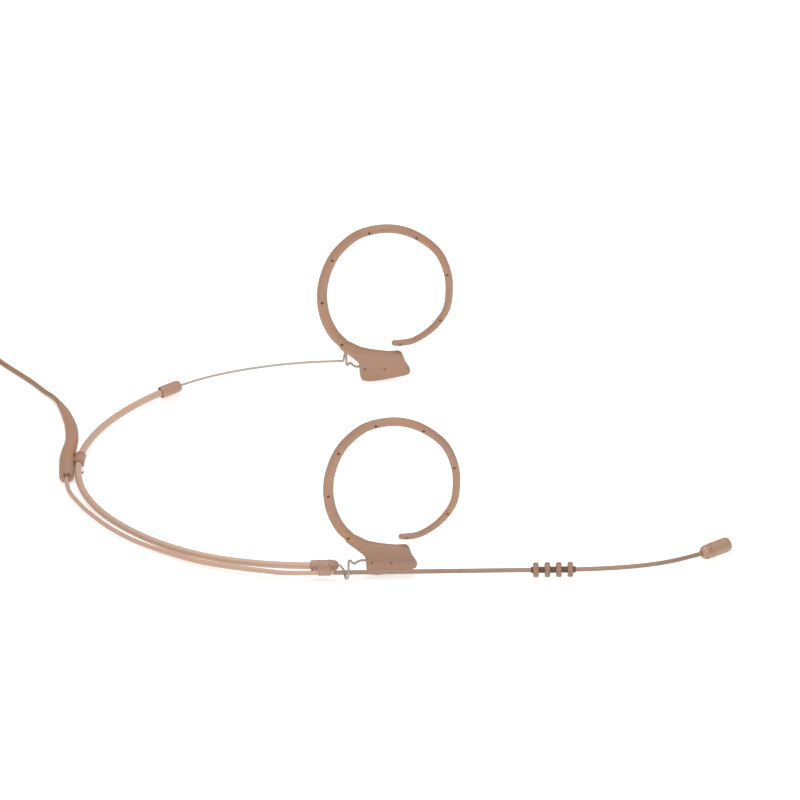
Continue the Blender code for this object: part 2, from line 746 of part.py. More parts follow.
def build_capsule():
    """The capsule's parts, along its axis, with heights in millimetres from the capsule's middle."""
    place, along = CAPSULE_PLACE, CAPSULE_ALONG
    cap_profile = [
        (1.25, 6.3),
        (1.7, 6.3),
        (2.35, 6.0),
        (2.75, 5.35),
        (2.9, 4.5),
        (2.9, -2.1),
        (2.75, -2.5),
        (2.45, -2.5),
        (2.45, 5.0),
        (1.25, 5.6),
    ]
    front_cap = turned("capsule_front_cap", cap_profile, place, along, 20)
    rear_profile = [
        (2.3, -2.0),
        (2.3, -3.1),
        (2.72, -3.1),
        (2.72, -4.6),
        (2.35, -5.7),
        (1.6, -6.3),
        (0.95, -6.3),
        (0.95, -5.4),
        (1.9, -5.0),
        (1.9, -2.0),
    ]
    rear_cup = turned("capsule_rear_cup", rear_profile, place, along, 20)
    mesh = rod("capsule_grid", 2.3, 4.65, 4.85, place, along, 20)
    gasket = ring("element_gasket", 1.5, 2.35, 4.05, 4.55, place, along, 20)
    can_profile = [(1.0, 3.95), (2.3, 3.95), (2.3, -0.6), (2.1, -0.6), (2.1, 3.7), (1.0, 3.7)]
    can = turned("element_can", can_profile, place, along, 20)
    diaphragm = rod("element_diaphragm", 2.0, 3.3, 3.4, place, along, 20)
    backplate = rod("element_backplate", 1.9, 2.4, 3.0, place, along, 20)
    board = rod("amplifier_board", 2.05, -1.7, -0.9, place, along, 20)
    chip = block("amplifier_chip", (1.6 * MM, 1.2 * MM, 0.7 * MM), place + along * 0.1 * MM)
    chip.rotation_mode = "QUATERNION"
    chip.rotation_quaternion = along.to_track_quat("Z", "X")
    paint(material("capsule_plastic", HOOK_SKIN, 0.38), front_cap, rear_cup)
    paint(material("grid_steel", STEEL, 0.4, 1.0), mesh)
    paint(material("gasket_rubber", BLACK, 0.6), gasket)
    paint(material("element_metal", STEEL, 0.3, 1.0), can, backplate)
    paint(material("element_foil", BRASS, 0.2, 1.0), diaphragm)
    paint(material("board_green", (0.03, 0.15, 0.06), 0.5), board)
    paint(material("chip_black", BLACK, 0.4), chip)
    return [front_cap, rear_cup, mesh, gasket, can, diaphragm, backplate, board, chip]


# ---------------------------------------------------------------- cord, coil and connector

# The cord from the boot's tip, down onto the table and out to the coil: (x, y, height).
CORD_PLACES = (
    (-7.65, 44.9, 2.6),
    (-9.0, 47.8, 2.35),
    (-10.9, 51.2, 1.75),
    (-13.0, 54.2, 1.2),
    (-15.6, 57.9, 1.0),
    (-18.2, 61.2, 1.0),
    (-21.8, 65.3, 1.0),
    (-25.6, 69.4, 1.0),
    (-29.4, 73.6, 1.1),
    (-32.4, 77.0, 1.3),
)


def build_cord():
    route = smooth([headset(*place) for place in CORD_PLACES], 2)
    run = wire("cord_run", route, CORD_R)
    half_width = COIL_COLUMNS * CORD_R / MM
    mean = COIL_MEAN_R / MM
    low = COIL_LIFT / MM
    high = low + 2 * COIL_LAYERS * CORD_R / MM
    coil_place = COIL_CENTRE + Vector((BACK.x, 0.0, 0.0))
    inner, outer, soft = mean - half_width, mean + half_width, 1.0
    section = [
        (inner + soft, high),
        (outer - soft, high),
        (outer, high - soft),
        (outer, low + soft),
        (outer - soft, low),
        (inner + soft, low),
        (inner, low + soft),
        (inner, high - soft),
    ]
    coil = turned("cord_coil", section, coil_place, (0, 0, 1), 24)
    tie_turn = math.radians(-65)
    middle = coil_place + Vector((math.cos(tie_turn), math.sin(tie_turn), 0.0)) * COIL_MEAN_R
    middle.z = (high + low) / 2 * MM
    tie_size = ((2 * half_width + 1.8) * MM, 4.0 * MM, (high - low + 0.95) * MM)
    tie = block("cord_tie", tie_size, middle, (0.0, 0.0, tie_turn))
    room_size = ((2 * half_width + 1.0) * MM, 6.0 * MM, (high - low + 0.35) * MM)
    room = block("cord_tie_room", room_size, middle, (0.0, 0.0, tie_turn), collection=cutters)
    boolean(tie, room, "DIFFERENCE")
    tail_start = coil_place + Vector((-(COIL_MEAN_R + (COIL_COLUMNS - 1) * CORD_R), -COIL_GRAZE, 0.0))
    tail_start.z = high * MM - CORD_R - 0.3 * MM
    relief = CONNECTOR_START + Vector((BACK.x, 0.3 * MM, 0.0))
    shoulder = tail_start + Vector((0.0, -3.5 * MM, -0.7 * MM))
    near_end = relief + Vector((0.0, 3.0 * MM, 0.1 * MM))
    tail = wire("cord_tail", smooth([tail_start, shoulder, near_end, relief], 2), CORD_R)
    paint(material("cord_jacket", (0.36, 0.26, 0.2), 0.5), run, coil, tail)
    paint(material("tie_fabric", BLACK, 0.8), tie)
    return [run, coil, tie, tail]


def build_connector():
    """A small three-pole latching connector that lies beside the coil, its face towards -Y."""
    place = CONNECTOR_START + Vector((BACK.x, 0.0, 0.0))
    along = (0, -1, 0)
    relief_profile = [(0, 15.4), (3.4, 15.4), (3.4, 13.6), (2.75, 13.4), (1.5, 0.0), (0, 0.0)]
    relief = turned("connector_relief", relief_profile, place, along, 20)
    outer = CONNECTOR_R / MM
    shell_profile = [
        (3.95, 38.0),
        (outer - 0.3, 38.0),
        (outer, 37.7),
        (outer, 17.0),
        (outer - 0.5, 13.0),
        (outer - 1.2, 12.3),
        (2.95, 12.3),
        (2.95, 13.3),
        (3.6, 13.3),
        (3.6, 21.0),
        (3.95, 21.3),
    ]
    shell = turned("connector_shell", shell_profile, place, along, 24)
    slot_place = place + Vector((0.0, -29.5, 4.4)) * MM
    slot = block("connector_latch_slot", (3.0 * MM, 12.0 * MM, 2.6 * MM), slot_place, collection=cutters)
    boolean(shell, slot, "DIFFERENCE")
    chuck = ring("connector_chuck", 1.1, 3.4, 15.7, 20.4, place, along, 20)
    insert = rod("connector_insert", 3.4, 24.0, 36.0, place, along, 24)
    sockets = []
    for number in range(3):
        turn = math.radians(30 + 120 * number)
        spot = place + Vector((math.cos(turn), 0.0, math.sin(turn))) * 1.75 * MM
        hole = rod(f"connector_hole_{number + 1}", 0.62, 22.0, 40.0, spot, along, 12, collection=cutters)
        boolean(insert, hole, "DIFFERENCE")
        contact = ring(f"connector_contact_{number + 1}", 0.3, 0.55, 21.4, 35.6, spot, along, 10)
        sockets.append(contact)
    latch_size = (2.4 * MM, 11.0 * MM, 0.9 * MM)
    latch_middle = place + Vector((0.0, -29.5, 4.45)) * MM
    latch = block("connector_latch", latch_size, latch_middle, edge=0.15 * MM)
    thumb_place = latch_middle + Vector((0.0, -1.5, 0.75)) * MM
    thumb = block("connector_latch_thumb", (2.0 * MM, 4.0 * MM, 1.0 * MM), thumb_place, collection=cutters)
    boolean(latch, thumb, "UNION")
    paint(material("connector_metal", (0.1, 0.1, 0.1), 0.35, 0.8), shell)
    paint(material("connector_plastic", BLACK, 0.5), insert, chuck)
    paint(material("relief_rubber", BLACK, 0.6), relief)
    paint(material("contact_gold", BRASS, 0.25, 1.0), *sockets)
    paint(material("latch_metal", STEEL, 0.35, 1.0), latch)
    return [shell, relief, chuck, insert, *sockets], [latch]


# ---------------------------------------------------------------- assembly


def main():
    material("hook_elastomer", HOOK_SKIN, 0.55)
    material("spring_steel", STEEL, 0.3, 1.0)
    material("wire_coat", WIRE_GREY, 0.4)
    material("steel_tube", STEEL, 0.3, 1.0)
    root = pivot("neckband_root", BACK)
    carry(root, *build_neckband(), *build_far_sleeve())
    boot = build_boot()
    carry(root, *build_near_sleeve(), *build_sheath(), *boot, *build_band_clip(), *build_cord())
    fixed, latch = build_connector()
    carry(root, *fixed)
    latch_place = CONNECTOR_START + Vector((BACK.x, -24.4 * MM, 4.45 * MM))
    carry(pivot("latch_pivot", latch_place, root), *latch)

    far_slide = pivot("far_slide_pivot", arc_centre(75.0, 92.0 * MM, FAR), root)
    carry(far_slide, *build_hook_wire("far", [*degrees(49.0, 75.0, 10), *degrees(79.0, 90.0, 4)], 0.0, FAR))
    far_hook = pivot("far_hook_pivot", hook_point(SOCKET_X[0], HOOK_AXIS_Z / MM, 0.0, FAR), far_slide)
    carry(far_hook, *build_hook("far", 0.0, FAR))

    near_slide = pivot("near_slide_pivot", arc_centre(90.0, 140.0 * MM, NEAR), root)
    carry(near_slide, *build_hook_wire("near", degrees(77.0, 91.2, 9), NEAR_HOOK_SHIFT, NEAR))
    near_place = hook_point(SOCKET_X[0], HOOK_AXIS_Z / MM, NEAR_HOOK_SHIFT, NEAR)
    near_hook = pivot("near_hook_pivot", near_place, near_slide)
    carry(near_hook, *build_hook("near", NEAR_HOOK_SHIFT, NEAR))

    boom_slide = pivot("boom_slide_pivot", boom_point(TAIL_X[0]), root)
    carry(boom_slide, *build_tail())
    boom_roll = pivot("boom_roll_pivot", boom_point(BOOM_REAR_X), boom_slide)
    carry(boom_roll, *build_boom(), *build_shield(), *build_capsule())


main()
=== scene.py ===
import json
import math

import bmesh
import bpy
from mathutils import Matrix, Vector

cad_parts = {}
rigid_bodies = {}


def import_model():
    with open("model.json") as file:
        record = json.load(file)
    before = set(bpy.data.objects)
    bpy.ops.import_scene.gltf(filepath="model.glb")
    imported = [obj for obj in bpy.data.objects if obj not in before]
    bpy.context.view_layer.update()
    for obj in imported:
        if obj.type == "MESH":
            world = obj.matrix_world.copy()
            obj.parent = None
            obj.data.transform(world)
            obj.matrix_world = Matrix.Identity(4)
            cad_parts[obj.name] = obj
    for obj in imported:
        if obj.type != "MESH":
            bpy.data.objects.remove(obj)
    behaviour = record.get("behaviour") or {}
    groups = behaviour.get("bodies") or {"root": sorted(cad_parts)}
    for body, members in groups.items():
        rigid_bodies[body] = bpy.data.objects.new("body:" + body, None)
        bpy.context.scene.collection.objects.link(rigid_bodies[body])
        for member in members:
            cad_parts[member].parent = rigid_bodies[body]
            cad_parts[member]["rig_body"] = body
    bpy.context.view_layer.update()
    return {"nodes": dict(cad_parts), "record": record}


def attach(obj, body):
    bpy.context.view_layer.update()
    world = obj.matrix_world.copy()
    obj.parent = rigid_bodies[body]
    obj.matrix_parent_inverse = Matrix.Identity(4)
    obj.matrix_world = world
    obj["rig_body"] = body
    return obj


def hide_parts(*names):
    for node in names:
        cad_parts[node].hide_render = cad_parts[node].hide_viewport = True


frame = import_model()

# Looks for the headset microphone: smooth tubes, moulded hooks, the wound cord and every material.
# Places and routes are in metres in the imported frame, where +X is the way the boom runs and +Z is up.
# Sizes are in millimetres wherever MM isn't named beside them.

MM = 0.001

# ---------------------------------------------------------------- camera

VIEW_ELEVATION = math.radians(35)
# The picture's width in metres.
FRAME_WIDTH = 0.304
# A long lens, as the picture shows hardly any perspective. Over about 1700 the other views clip the object.
LENS = 1500.0
SENSOR = 36.0
# The middle of the picture, as a point on the table.
PICTURE_MIDDLE = Vector((2.6, 50.57, 0.0)) * MM
# How far in front of that point the object's middle is, in metres, where FRAME_WIDTH is measured.
MIDDLE_DEPTH = 0.07


def build_camera():
    data = bpy.data.cameras.new("camera")
    data.lens = LENS
    data.sensor_width = SENSOR
    distance = FRAME_WIDTH * LENS / SENSOR + MIDDLE_DEPTH
    back = Vector((0.0, -math.cos(VIEW_ELEVATION), math.sin(VIEW_ELEVATION)))
    data.clip_start = 0.02 * distance
    data.clip_end = 2 * distance
    camera = bpy.data.objects.new("camera", data)
    camera.location = PICTURE_MIDDLE + back * distance
    camera.rotation_mode = "QUATERNION"
    camera.rotation_quaternion = (-back).to_track_quat("-Z", "Y")
    bpy.context.scene.collection.objects.link(camera)
    bpy.context.scene.camera = camera


build_camera()

# ---------------------------------------------------------------- places shared with the solids

BAND_R = 1.36
BAND_BORE_R = 0.95
BAND_TILT = math.radians(2.0)
BACK_Z = 2.8
BACK = Vector((-120.0, 0.0, BACK_Z)) * MM
BAND_FRAME = Matrix.Translation(BACK) @ Matrix.Rotation(-BAND_TILT, 4, "Y")
# Arcs of half the neckband, from the middle of its back: radius, and heading at the arc's end in degrees.
NECK_ARCS = ((46.0, 22.0), (59.0, 40.0), (92.0, 75.0), (140.0, 90.0))
FAR, NEAR = 1, -1
FAR_SLEEVE_HEADING = 58.2
NEAR_SLEEVE_HEADING = 89.3

HOOK_Y = 64.1
HOOK_AXIS_Z = 6.1
NEAR_HOOK_SHIFT = 2.6

BOOM_LINE_START = (84.6, -72.3)
BOOM_HEADING = math.radians(1.35)
BOOM_Z = 5.95
BOOM_ALONG = Vector((math.cos(BOOM_HEADING), math.sin(BOOM_HEADING), 0.0))

CAPSULE_HEADING = math.radians(32.4)
CAPSULE_ALONG = Vector((math.cos(CAPSULE_HEADING), math.sin(CAPSULE_HEADING), 0.0))
UP = Vector((0.0, 0.0, 1.0))


def headset(x, y, z):
    """A point given in millimetres from the neckband's back, in metres in the frame."""
    return Vector((BACK.x + x * MM, y * MM, z * MM))


def neck_place(heading, side):
    """The neckband's centre line: its place, and the way it runs, at a heading in degrees."""
    x = y = start = 0.0
    for radius, end in NECK_ARCS:
        stop = heading if radius == NECK_ARCS[-1][0] else min(end, heading)
        a, b = math.radians(start), math.radians(stop)
        x += radius * (math.cos(a) - math.cos(b))
        y += radius * (math.sin(b) - math.sin(a))
        if heading <= end:
            break
        start = end
    turn = math.radians(heading)
    point = BAND_FRAME @ (Vector((x, side * y, 0.0)) * MM)
    along = BAND_FRAME.to_3x3() @ Vector((math.sin(turn), side * math.cos(turn), 0.0))
    return point, along


def neck_route(first, last, side, step=1.5):
    count = max(2, round(abs(last - first) / step))
    return [neck_place(first + (last - first) * n / count, side)[0] for n in range(count + 1)]


def boom_point(x):
    """A point on the boom's straight line, x millimetres from the neckband's back."""
    start_x, start_y = BOOM_LINE_START
    return headset(x, start_y + (x - start_x) * math.tan(BOOM_HEADING), BOOM_Z)


def hook_point(x, z, shift, side):
    """A point in a hook's own plane, shifted along the headset."""
    return headset(x + shift, side * HOOK_Y, z)


def around(middle, side, up, turn, radius):
    """A point at an angle round a place, in the plane of two directions."""
    return middle + (side * math.cos(turn) + up * math.sin(turn)) * radius * MM


def facing(way):
    """The rotation that turns a block's Z to this way."""
    return way.to_track_quat("Z", "X").to_matrix()


def trimmed(route, start, end):
    """The route with its two ends moved out along it by these lengths, or back if they are negative."""
    made = list(route)
    for reach in (start * MM, end * MM):
        while reach < 0 and (made[1] - made[0]).length < -reach + 0.05 * MM:
            reach += (made[1] - made[0]).length
            made.pop(0)
        made[0] = made[0] - (made[1] - made[0]).normalized() * reach
        made.reverse()
    return made


def smooth(points, per_span, closed=False):
    """Points along a Catmull-Rom curve through these points."""
    ends = [2 * points[0] - points[1], *points, 2 * points[-1] - points[-2]]
    if closed:
        ends = [points[-1], *points, points[0], points[1]]
    route = []
    for a, b, c, d in zip(ends, ends[1:], ends[2:], ends[3:]):
        for step in range(per_span):
            t = step / per_span
            bend = (2 * a - 5 * b + 4 * c - d) * t**2 + (3 * b - a - 3 * c + d) * t**3
            route.append(0.5 * (2 * b + (c - a) * t + bend))
    return route if closed else [*route, points[-1].copy()]


# ---------------------------------------------------------------- mesh tools


def link(name, mesh):
    made = bpy.data.objects.new(name, mesh)
    bpy.context.scene.collection.objects.link(made)
    return made


def shaded(piece, sharp=40):
    piece.data.shade_smooth()
    piece.data.set_sharp_from_angle(angle=math.radians(sharp))
    return piece


def finished(name, work, sharp=40):
    """The bmesh as an object, shaded smooth except at sharp edges."""
    bmesh.ops.recalc_face_normals(work, faces=work.faces)
    mesh = bpy.data.meshes.new(name)
    work.to_mesh(mesh)
    work.free()
    return shaded(link(name, mesh), sharp)


def cross_frames(route, upright=None):
    """At each point of a route: the way it runs, and two directions across it that never twist.

    With upright, the second of them stays as near that direction as it can.
    """
    ways = []
    for before, after in zip([route[0], *route[:-1]], [*route[1:], route[-1]]):
        ways.append((after - before).normalized())
    side = ways[0].orthogonal().normalized()
    frames = []
    for way in ways:
        if upright:
            side = Vector(upright).cross(way)
        side = (side - way * side.dot(way)).normalized()
        frames.append((way, side, way.cross(side)))
    return frames


def add_ring(work, middle, frame_here, across, tall, corners):
    _, side, up = frame_here
    ring = []
    for number in range(corners):
        turn = 2 * math.pi * number / corners
        ring.append(work.verts.new(middle + side * math.cos(turn) * across + up * math.sin(turn) * tall))
    return ring


def bridge(work, first, second):
    """Faces between two rings, or between a ring and a single point."""
    count = max(len(first), len(second))
    for number in range(count):
        after = (number + 1) % count
        corners = [first[number % len(first)], first[after % len(first)]]
        corners += [second[after % len(second)], second[number % len(second)]]
        work.faces.new(list(dict.fromkeys(corners)))


def lip_of(radius, dome):
    """A tube's rounded end in metres, from the middle outwards, as (radius, distance beyond the end)."""
    if dome:
        steps = 6
        turns = [math.pi / 2 * max(0.3, step) / steps for step in range(steps + 1)]
        return [(radius * math.sin(turn), dome * (math.cos(turn) - 1)) for turn in turns]
    soft = 0.2 * radius
    return [(radius - soft, 0.0), (radius - 0.3 * soft, -0.3 * soft), (radius, -soft)]


def radius_list(radii, route):
    """A radius in metres for each point of a route, from one radius or a list."""
    return [radius * MM for radius in (radii if isinstance(radii, list) else [radii] * len(route))]


def swept(name, route, radii, corners=24, hollow=None, domes=(0, 0), squat=1.0, upright=None):
    """A tube along a route, with one radius or one for each point, and so for its hollow.

    domes are the depths of its rounded ends. squat is its height over its width.
    """
    radii = radius_list(radii, route)
    work = bmesh.new()
    frames = cross_frames(route, upright)
    first, last = lip_of(radii[0], domes[0] * MM), lip_of(radii[-1], domes[1] * MM)
    rings = []
    for size, out in first:
        rings.append(add_ring(work, route[0] - frames[0][0] * out, frames[0], size, size * squat, corners))
    start_room, end_room = (-1.1 * (lip[0][1] + lip[-1][1]) for lip in (first, last))
    for point, radius, frame_here in list(zip(route, radii, frames))[1:-1]:
        if (point - route[0]).length > start_room and (point - route[-1]).length > end_room:
            rings.append(add_ring(work, point, frame_here, radius, radius * squat, corners))
    for size, out in reversed(last):
        rings.append(add_ring(work, route[-1] + frames[-1][0] * out, frames[-1], size, size * squat, corners))
    if hollow:
        for point, radius, frame_here in reversed(list(zip(route, radius_list(hollow, route), frames))):
            rings.append(add_ring(work, point, frame_here, radius, radius * squat, corners))
        rings.append(rings[0])
    else:
        work.faces.new(rings[0])
        work.faces.new(rings[-1])
    for before, after in zip(rings, rings[1:]):
        bridge(work, before, after)
    return finished(name, work)


def turned(name, profile, middle, along, corners=48, sharp=32):
    """A turned body about a line. The profile is (radius, height), closed where the radius is 0."""
    work = bmesh.new()
    side, up, way = Vector(along).to_track_quat("Z", "X").to_matrix().col
    rings = []
    for radius, height in profile:
        centre = middle + way * height * MM
        if radius == 0:
            rings.append([work.verts.new(centre)])
        else:
            rings.append(add_ring(work, centre, (way, side, up), radius * MM, radius * MM, corners))
    for first, second in zip(rings, rings[1:]):
        bridge(work, first, second)
    if profile[0][0] > 0:
        bridge(work, rings[-1], rings[0])
    return finished(name, work, sharp)


def rounded(profile, radius, steps=3):
    """The profile with each of its inner corners replaced by a small arc."""
    points = [Vector(p) for p in profile]
    made = [tuple(profile[0])]
    for before, corner, after in zip(points, points[1:], points[2:]):
        reach = min(radius, (before - corner).length * 0.45, (after - corner).length * 0.45)
        start = corner + (before - corner).normalized() * reach
        end = corner + (after - corner).normalized() * reach
        for step in range(steps + 1):
            t = step / steps
            made.append(tuple(start * (1 - t) ** 2 + corner * 2 * t * (1 - t) + end * t**2))
    return [*made, tuple(profile[-1])]


def rod(name, radius, low, high, middle, along, corners=32, edge=0.0):
    """A cylinder along a line, between two heights, with rounded edges."""
    profile = [(0.0, low), (radius, low), (radius, high), (0.0, high)]
    return turned(name, rounded(profile, edge) if edge else profile, middle, along, corners)


def tube_ring(name, inner, outer, low, high, middle, along, corners=40):
    """A ring along a line, between two heights, with softened edges."""
    edge = 0.22 * (outer - inner)
    profile = [(inner, low), (outer - edge, low), (outer, low + edge)]
    profile += [(outer, high - edge), (outer - edge, high), (inner, high)]
    return turned(name, profile, middle, along, corners)


def modified(piece, kind, **settings):
    """The piece with one modifier applied to its mesh."""
    modifier = piece.modifiers.new(kind.lower(), kind)
    for key, value in settings.items():
        setattr(modifier, key, value)
    bpy.context.view_layer.update()
    evaluated = piece.evaluated_get(bpy.context.evaluated_depsgraph_get())
    mesh = bpy.data.meshes.new_from_object(evaluated)
    piece.modifiers.clear()
    old = piece.data
    piece.data = mesh
    bpy.data.meshes.remove(old)
    return piece


def combined(target, tools, operation):
    """One Boolean after another, which use up the tools."""
    for tool in tools:
        modified(target, "BOOLEAN", operation=operation, object=tool, solver="EXACT")
        bpy.data.objects.remove(tool)
    return target


def cut(target, *tools):
    return combined(target, tools, "DIFFERENCE")


def fuse(target, *tools):
    return combined(target, tools, "UNION")


def joined(name, pieces):
    """Several loose pieces as one object, each with its own materials."""
    work = bmesh.new()
    slots = []
    for piece in pieces:
        before = len(work.faces)
        work.from_mesh(piece.data)
        work.faces.ensure_lookup_table()
        own = list(piece.data.materials) or [None]
        for face in work.faces[before:]:
            finish = own[face.material_index]
            if finish not in slots:
                slots.append(finish)
            face.material_index = slots.index(finish)
        bpy.data.objects.remove(piece)
    made = finished(name, work)
    for finish in slots:
        if finish:
            made.data.materials.append(finish)
    return made


def block(name, size, middle, turn=None, edge=0.0):
    """A box with rounded edges."""
    work = bmesh.new()
    bmesh.ops.create_cube(work, size=1.0)
    bmesh.ops.scale(work, vec=[length * MM for length in size], verts=work.verts)
    if edge:
        bmesh.ops.bevel(
            work, geom=work.edges[:], offset=edge * MM, segments=3, profile=0.5, affect="EDGES"
        )
    matrix = Matrix.Translation(middle)
    if turn:
        matrix = matrix @ turn.to_4x4()
    bmesh.ops.transform(work, matrix=matrix, verts=work.verts)
    return finished(name, work)


def slab(name, outline, thick, across):
    """A flat body: an outline of points, made thick along a unit direction, half to each side."""
    work = bmesh.new()
    way = Vector(across) * (thick * MM / 2)
    low = work.faces.new([work.verts.new(point - way) for point in outline])
    raised = bmesh.ops.extrude_face_region(work, geom=[low])
    verts = [item for item in raised["geom"] if isinstance(item, bmesh.types.BMVert)]
    bmesh.ops.translate(work, vec=2 * way, verts=verts)
    return finished(name, work)


def melted(piece, voxel, rounds):
    """Overlapping bodies of one object as one skin, with its creases blended."""
    modified(piece, "REMESH", mode="VOXEL", voxel_size=voxel * MM, use_smooth_shade=True)
    modified(piece, "SMOOTH", factor=0.5, iterations=rounds)
    return piece


# ---------------------------------------------------------------- cord, coil and connector

CORD_R = 0.95
COIL_CENTRE = Vector((-170.0, 73.3, 0.0)) * MM
COIL_RADII = (15.85, 13.95, 12.05, 10.15)
COIL_FLOOR = 1.45
COIL_ENTRY = 40.3
COIL_LEAVE = 180.0
# Points in each turn, and how far the cord strays in and out along it.
COIL_STEPS = 48
COIL_STRAY = 0.05
# Where each turn moves over to the next column or layer, and half the angle that it takes.
COIL_SHIFT = -65.0
COIL_SHIFT_HALF = 14.0
CONNECTOR_PLACE = Vector((-186.0, 53.0, 4.95)) * MM
CORD_PLACES = (
    (-7.65, 44.9, 2.6), (-9.0, 47.8, 2.35), (-10.9, 51.2, 1.75), (-13.0, 54.2, 1.2),
    (-15.6, 57.9, 1.0), (-18.2, 61.2, 1.0), (-21.8, 65.3, 1.0), (-25.6, 69.4, 1.0),
    (-29.4, 73.6, 1.1), (-32.4, 77.0, 1.3),
)


def coil_route():
    """The wound cord: as many layers as columns, in and out by turns, from the entry to the leaving angle."""
    spots = []
    for layer in range(len(COIL_RADII)):
        order = COIL_RADII if layer % 2 == 0 else COIL_RADII[::-1]
        spots += [(radius, COIL_FLOOR + 2 * layer * CORD_R) for radius in order]
    total = COIL_LEAVE + 360 * (len(spots) - 1) - COIL_ENTRY
    count = round(total / 360 * COIL_STEPS)
    route = []
    for number in range(count + 1):
        angle = COIL_ENTRY + total * number / count
        turns, part = divmod(angle - (COIL_SHIFT - COIL_SHIFT_HALF), 360)
        spot = min(int(turns), len(spots) - 1)
        share = min(1.0, part / (2 * COIL_SHIFT_HALF))
        share = share * share * (3 - 2 * share)
        before, after = spots[max(0, spot - 1)], spots[spot]
        radius = before[0] + (after[0] - before[0]) * share
        height = before[1] + (after[1] - before[1]) * share
        radius += COIL_STRAY * math.sin(math.radians(2.6 * angle) + 1.7 * spot)
        turn = math.radians(angle)
        route.append(COIL_CENTRE + Vector((math.cos(turn) * radius, math.sin(turn) * radius, height)) * MM)
    return route


def cord_route():
    """The cord from the boot down to the table, round the coil and into the connector."""
    coil = coil_route()
    run = smooth([*(headset(*place) for place in CORD_PLACES), coil[0]], 4)
    tail_start = COIL_CENTRE + Vector((-COIL_RADII[0], -8.6, 6.85)) * MM
    shoulder = tail_start + Vector((0.0, -3.5, -0.7)) * MM
    relief = CONNECTOR_PLACE + Vector((0.0, 0.3, 0.0)) * MM
    near_end = relief + Vector((0.0, 3.0, 0.1)) * MM
    return [*run[:-1], *coil, *smooth([tail_start, shoulder, near_end, relief], 5)]


def build_tie():
    """A woven strap round the coil, its end lapped over its start."""
    work = bmesh.new()
    turn = math.radians(COIL_SHIFT)
    out = Vector((math.cos(turn), math.sin(turn), 0.0))
    along = Vector((-math.sin(turn), math.cos(turn), 0.0))
    middle = COIL_CENTRE + (out * 13.0 + UP * 4.42) * MM
    half_wide, half_tall, corner, thick, half_strap, edge = 4.42, 4.0, 1.3, 0.26, 1.9, 0.1
    path = []
    for number, (right, top) in enumerate(((1, 1), (-1, 1), (-1, -1), (1, -1))):
        for step in range(6):
            angle = math.radians(90 * number + 15 * step + 9)
            x = right * (half_wide - corner) + corner * math.cos(angle)
            path.append((x, top * (half_tall - corner) + corner * math.sin(angle)))
    count = len(path)
    lap = 7
    # The strap's section, across as a share of its half width and up as a share of its thickness.
    upper = [(-1, edge), (edge - 1, 0), (1 - edge, 0), (1, edge)]
    section = [*upper, *((across, 1 - depth) for across, depth in reversed(upper))]
    rings = []
    for number in range(count + lap):
        x, z = path[number % count]
        x0, z0 = path[(number - 1) % count]
        x1, z1 = path[(number + 1) % count]
        normal = Vector((z1 - z0, 0.0, x0 - x1)).normalized()
        lift = 0.0 if number < count - 1 else min(1.0, (number - count + 2) / 3) * thick * 1.02
        base = middle + (out * (x + normal.x * lift) + UP * (z + normal.z * lift)) * MM
        away = (out * normal.x + UP * normal.z) * thick * MM
        rings.append([])
        for across, depth in section:
            rings[-1].append(work.verts.new(base + along * across * half_strap * MM + away * depth))
    for before, after in zip(rings, rings[1:]):
        bridge(work, before, after)
    work.faces.new(rings[0])
    work.faces.new(rings[-1])
    return {"cord_tie": finished("tie", work)}


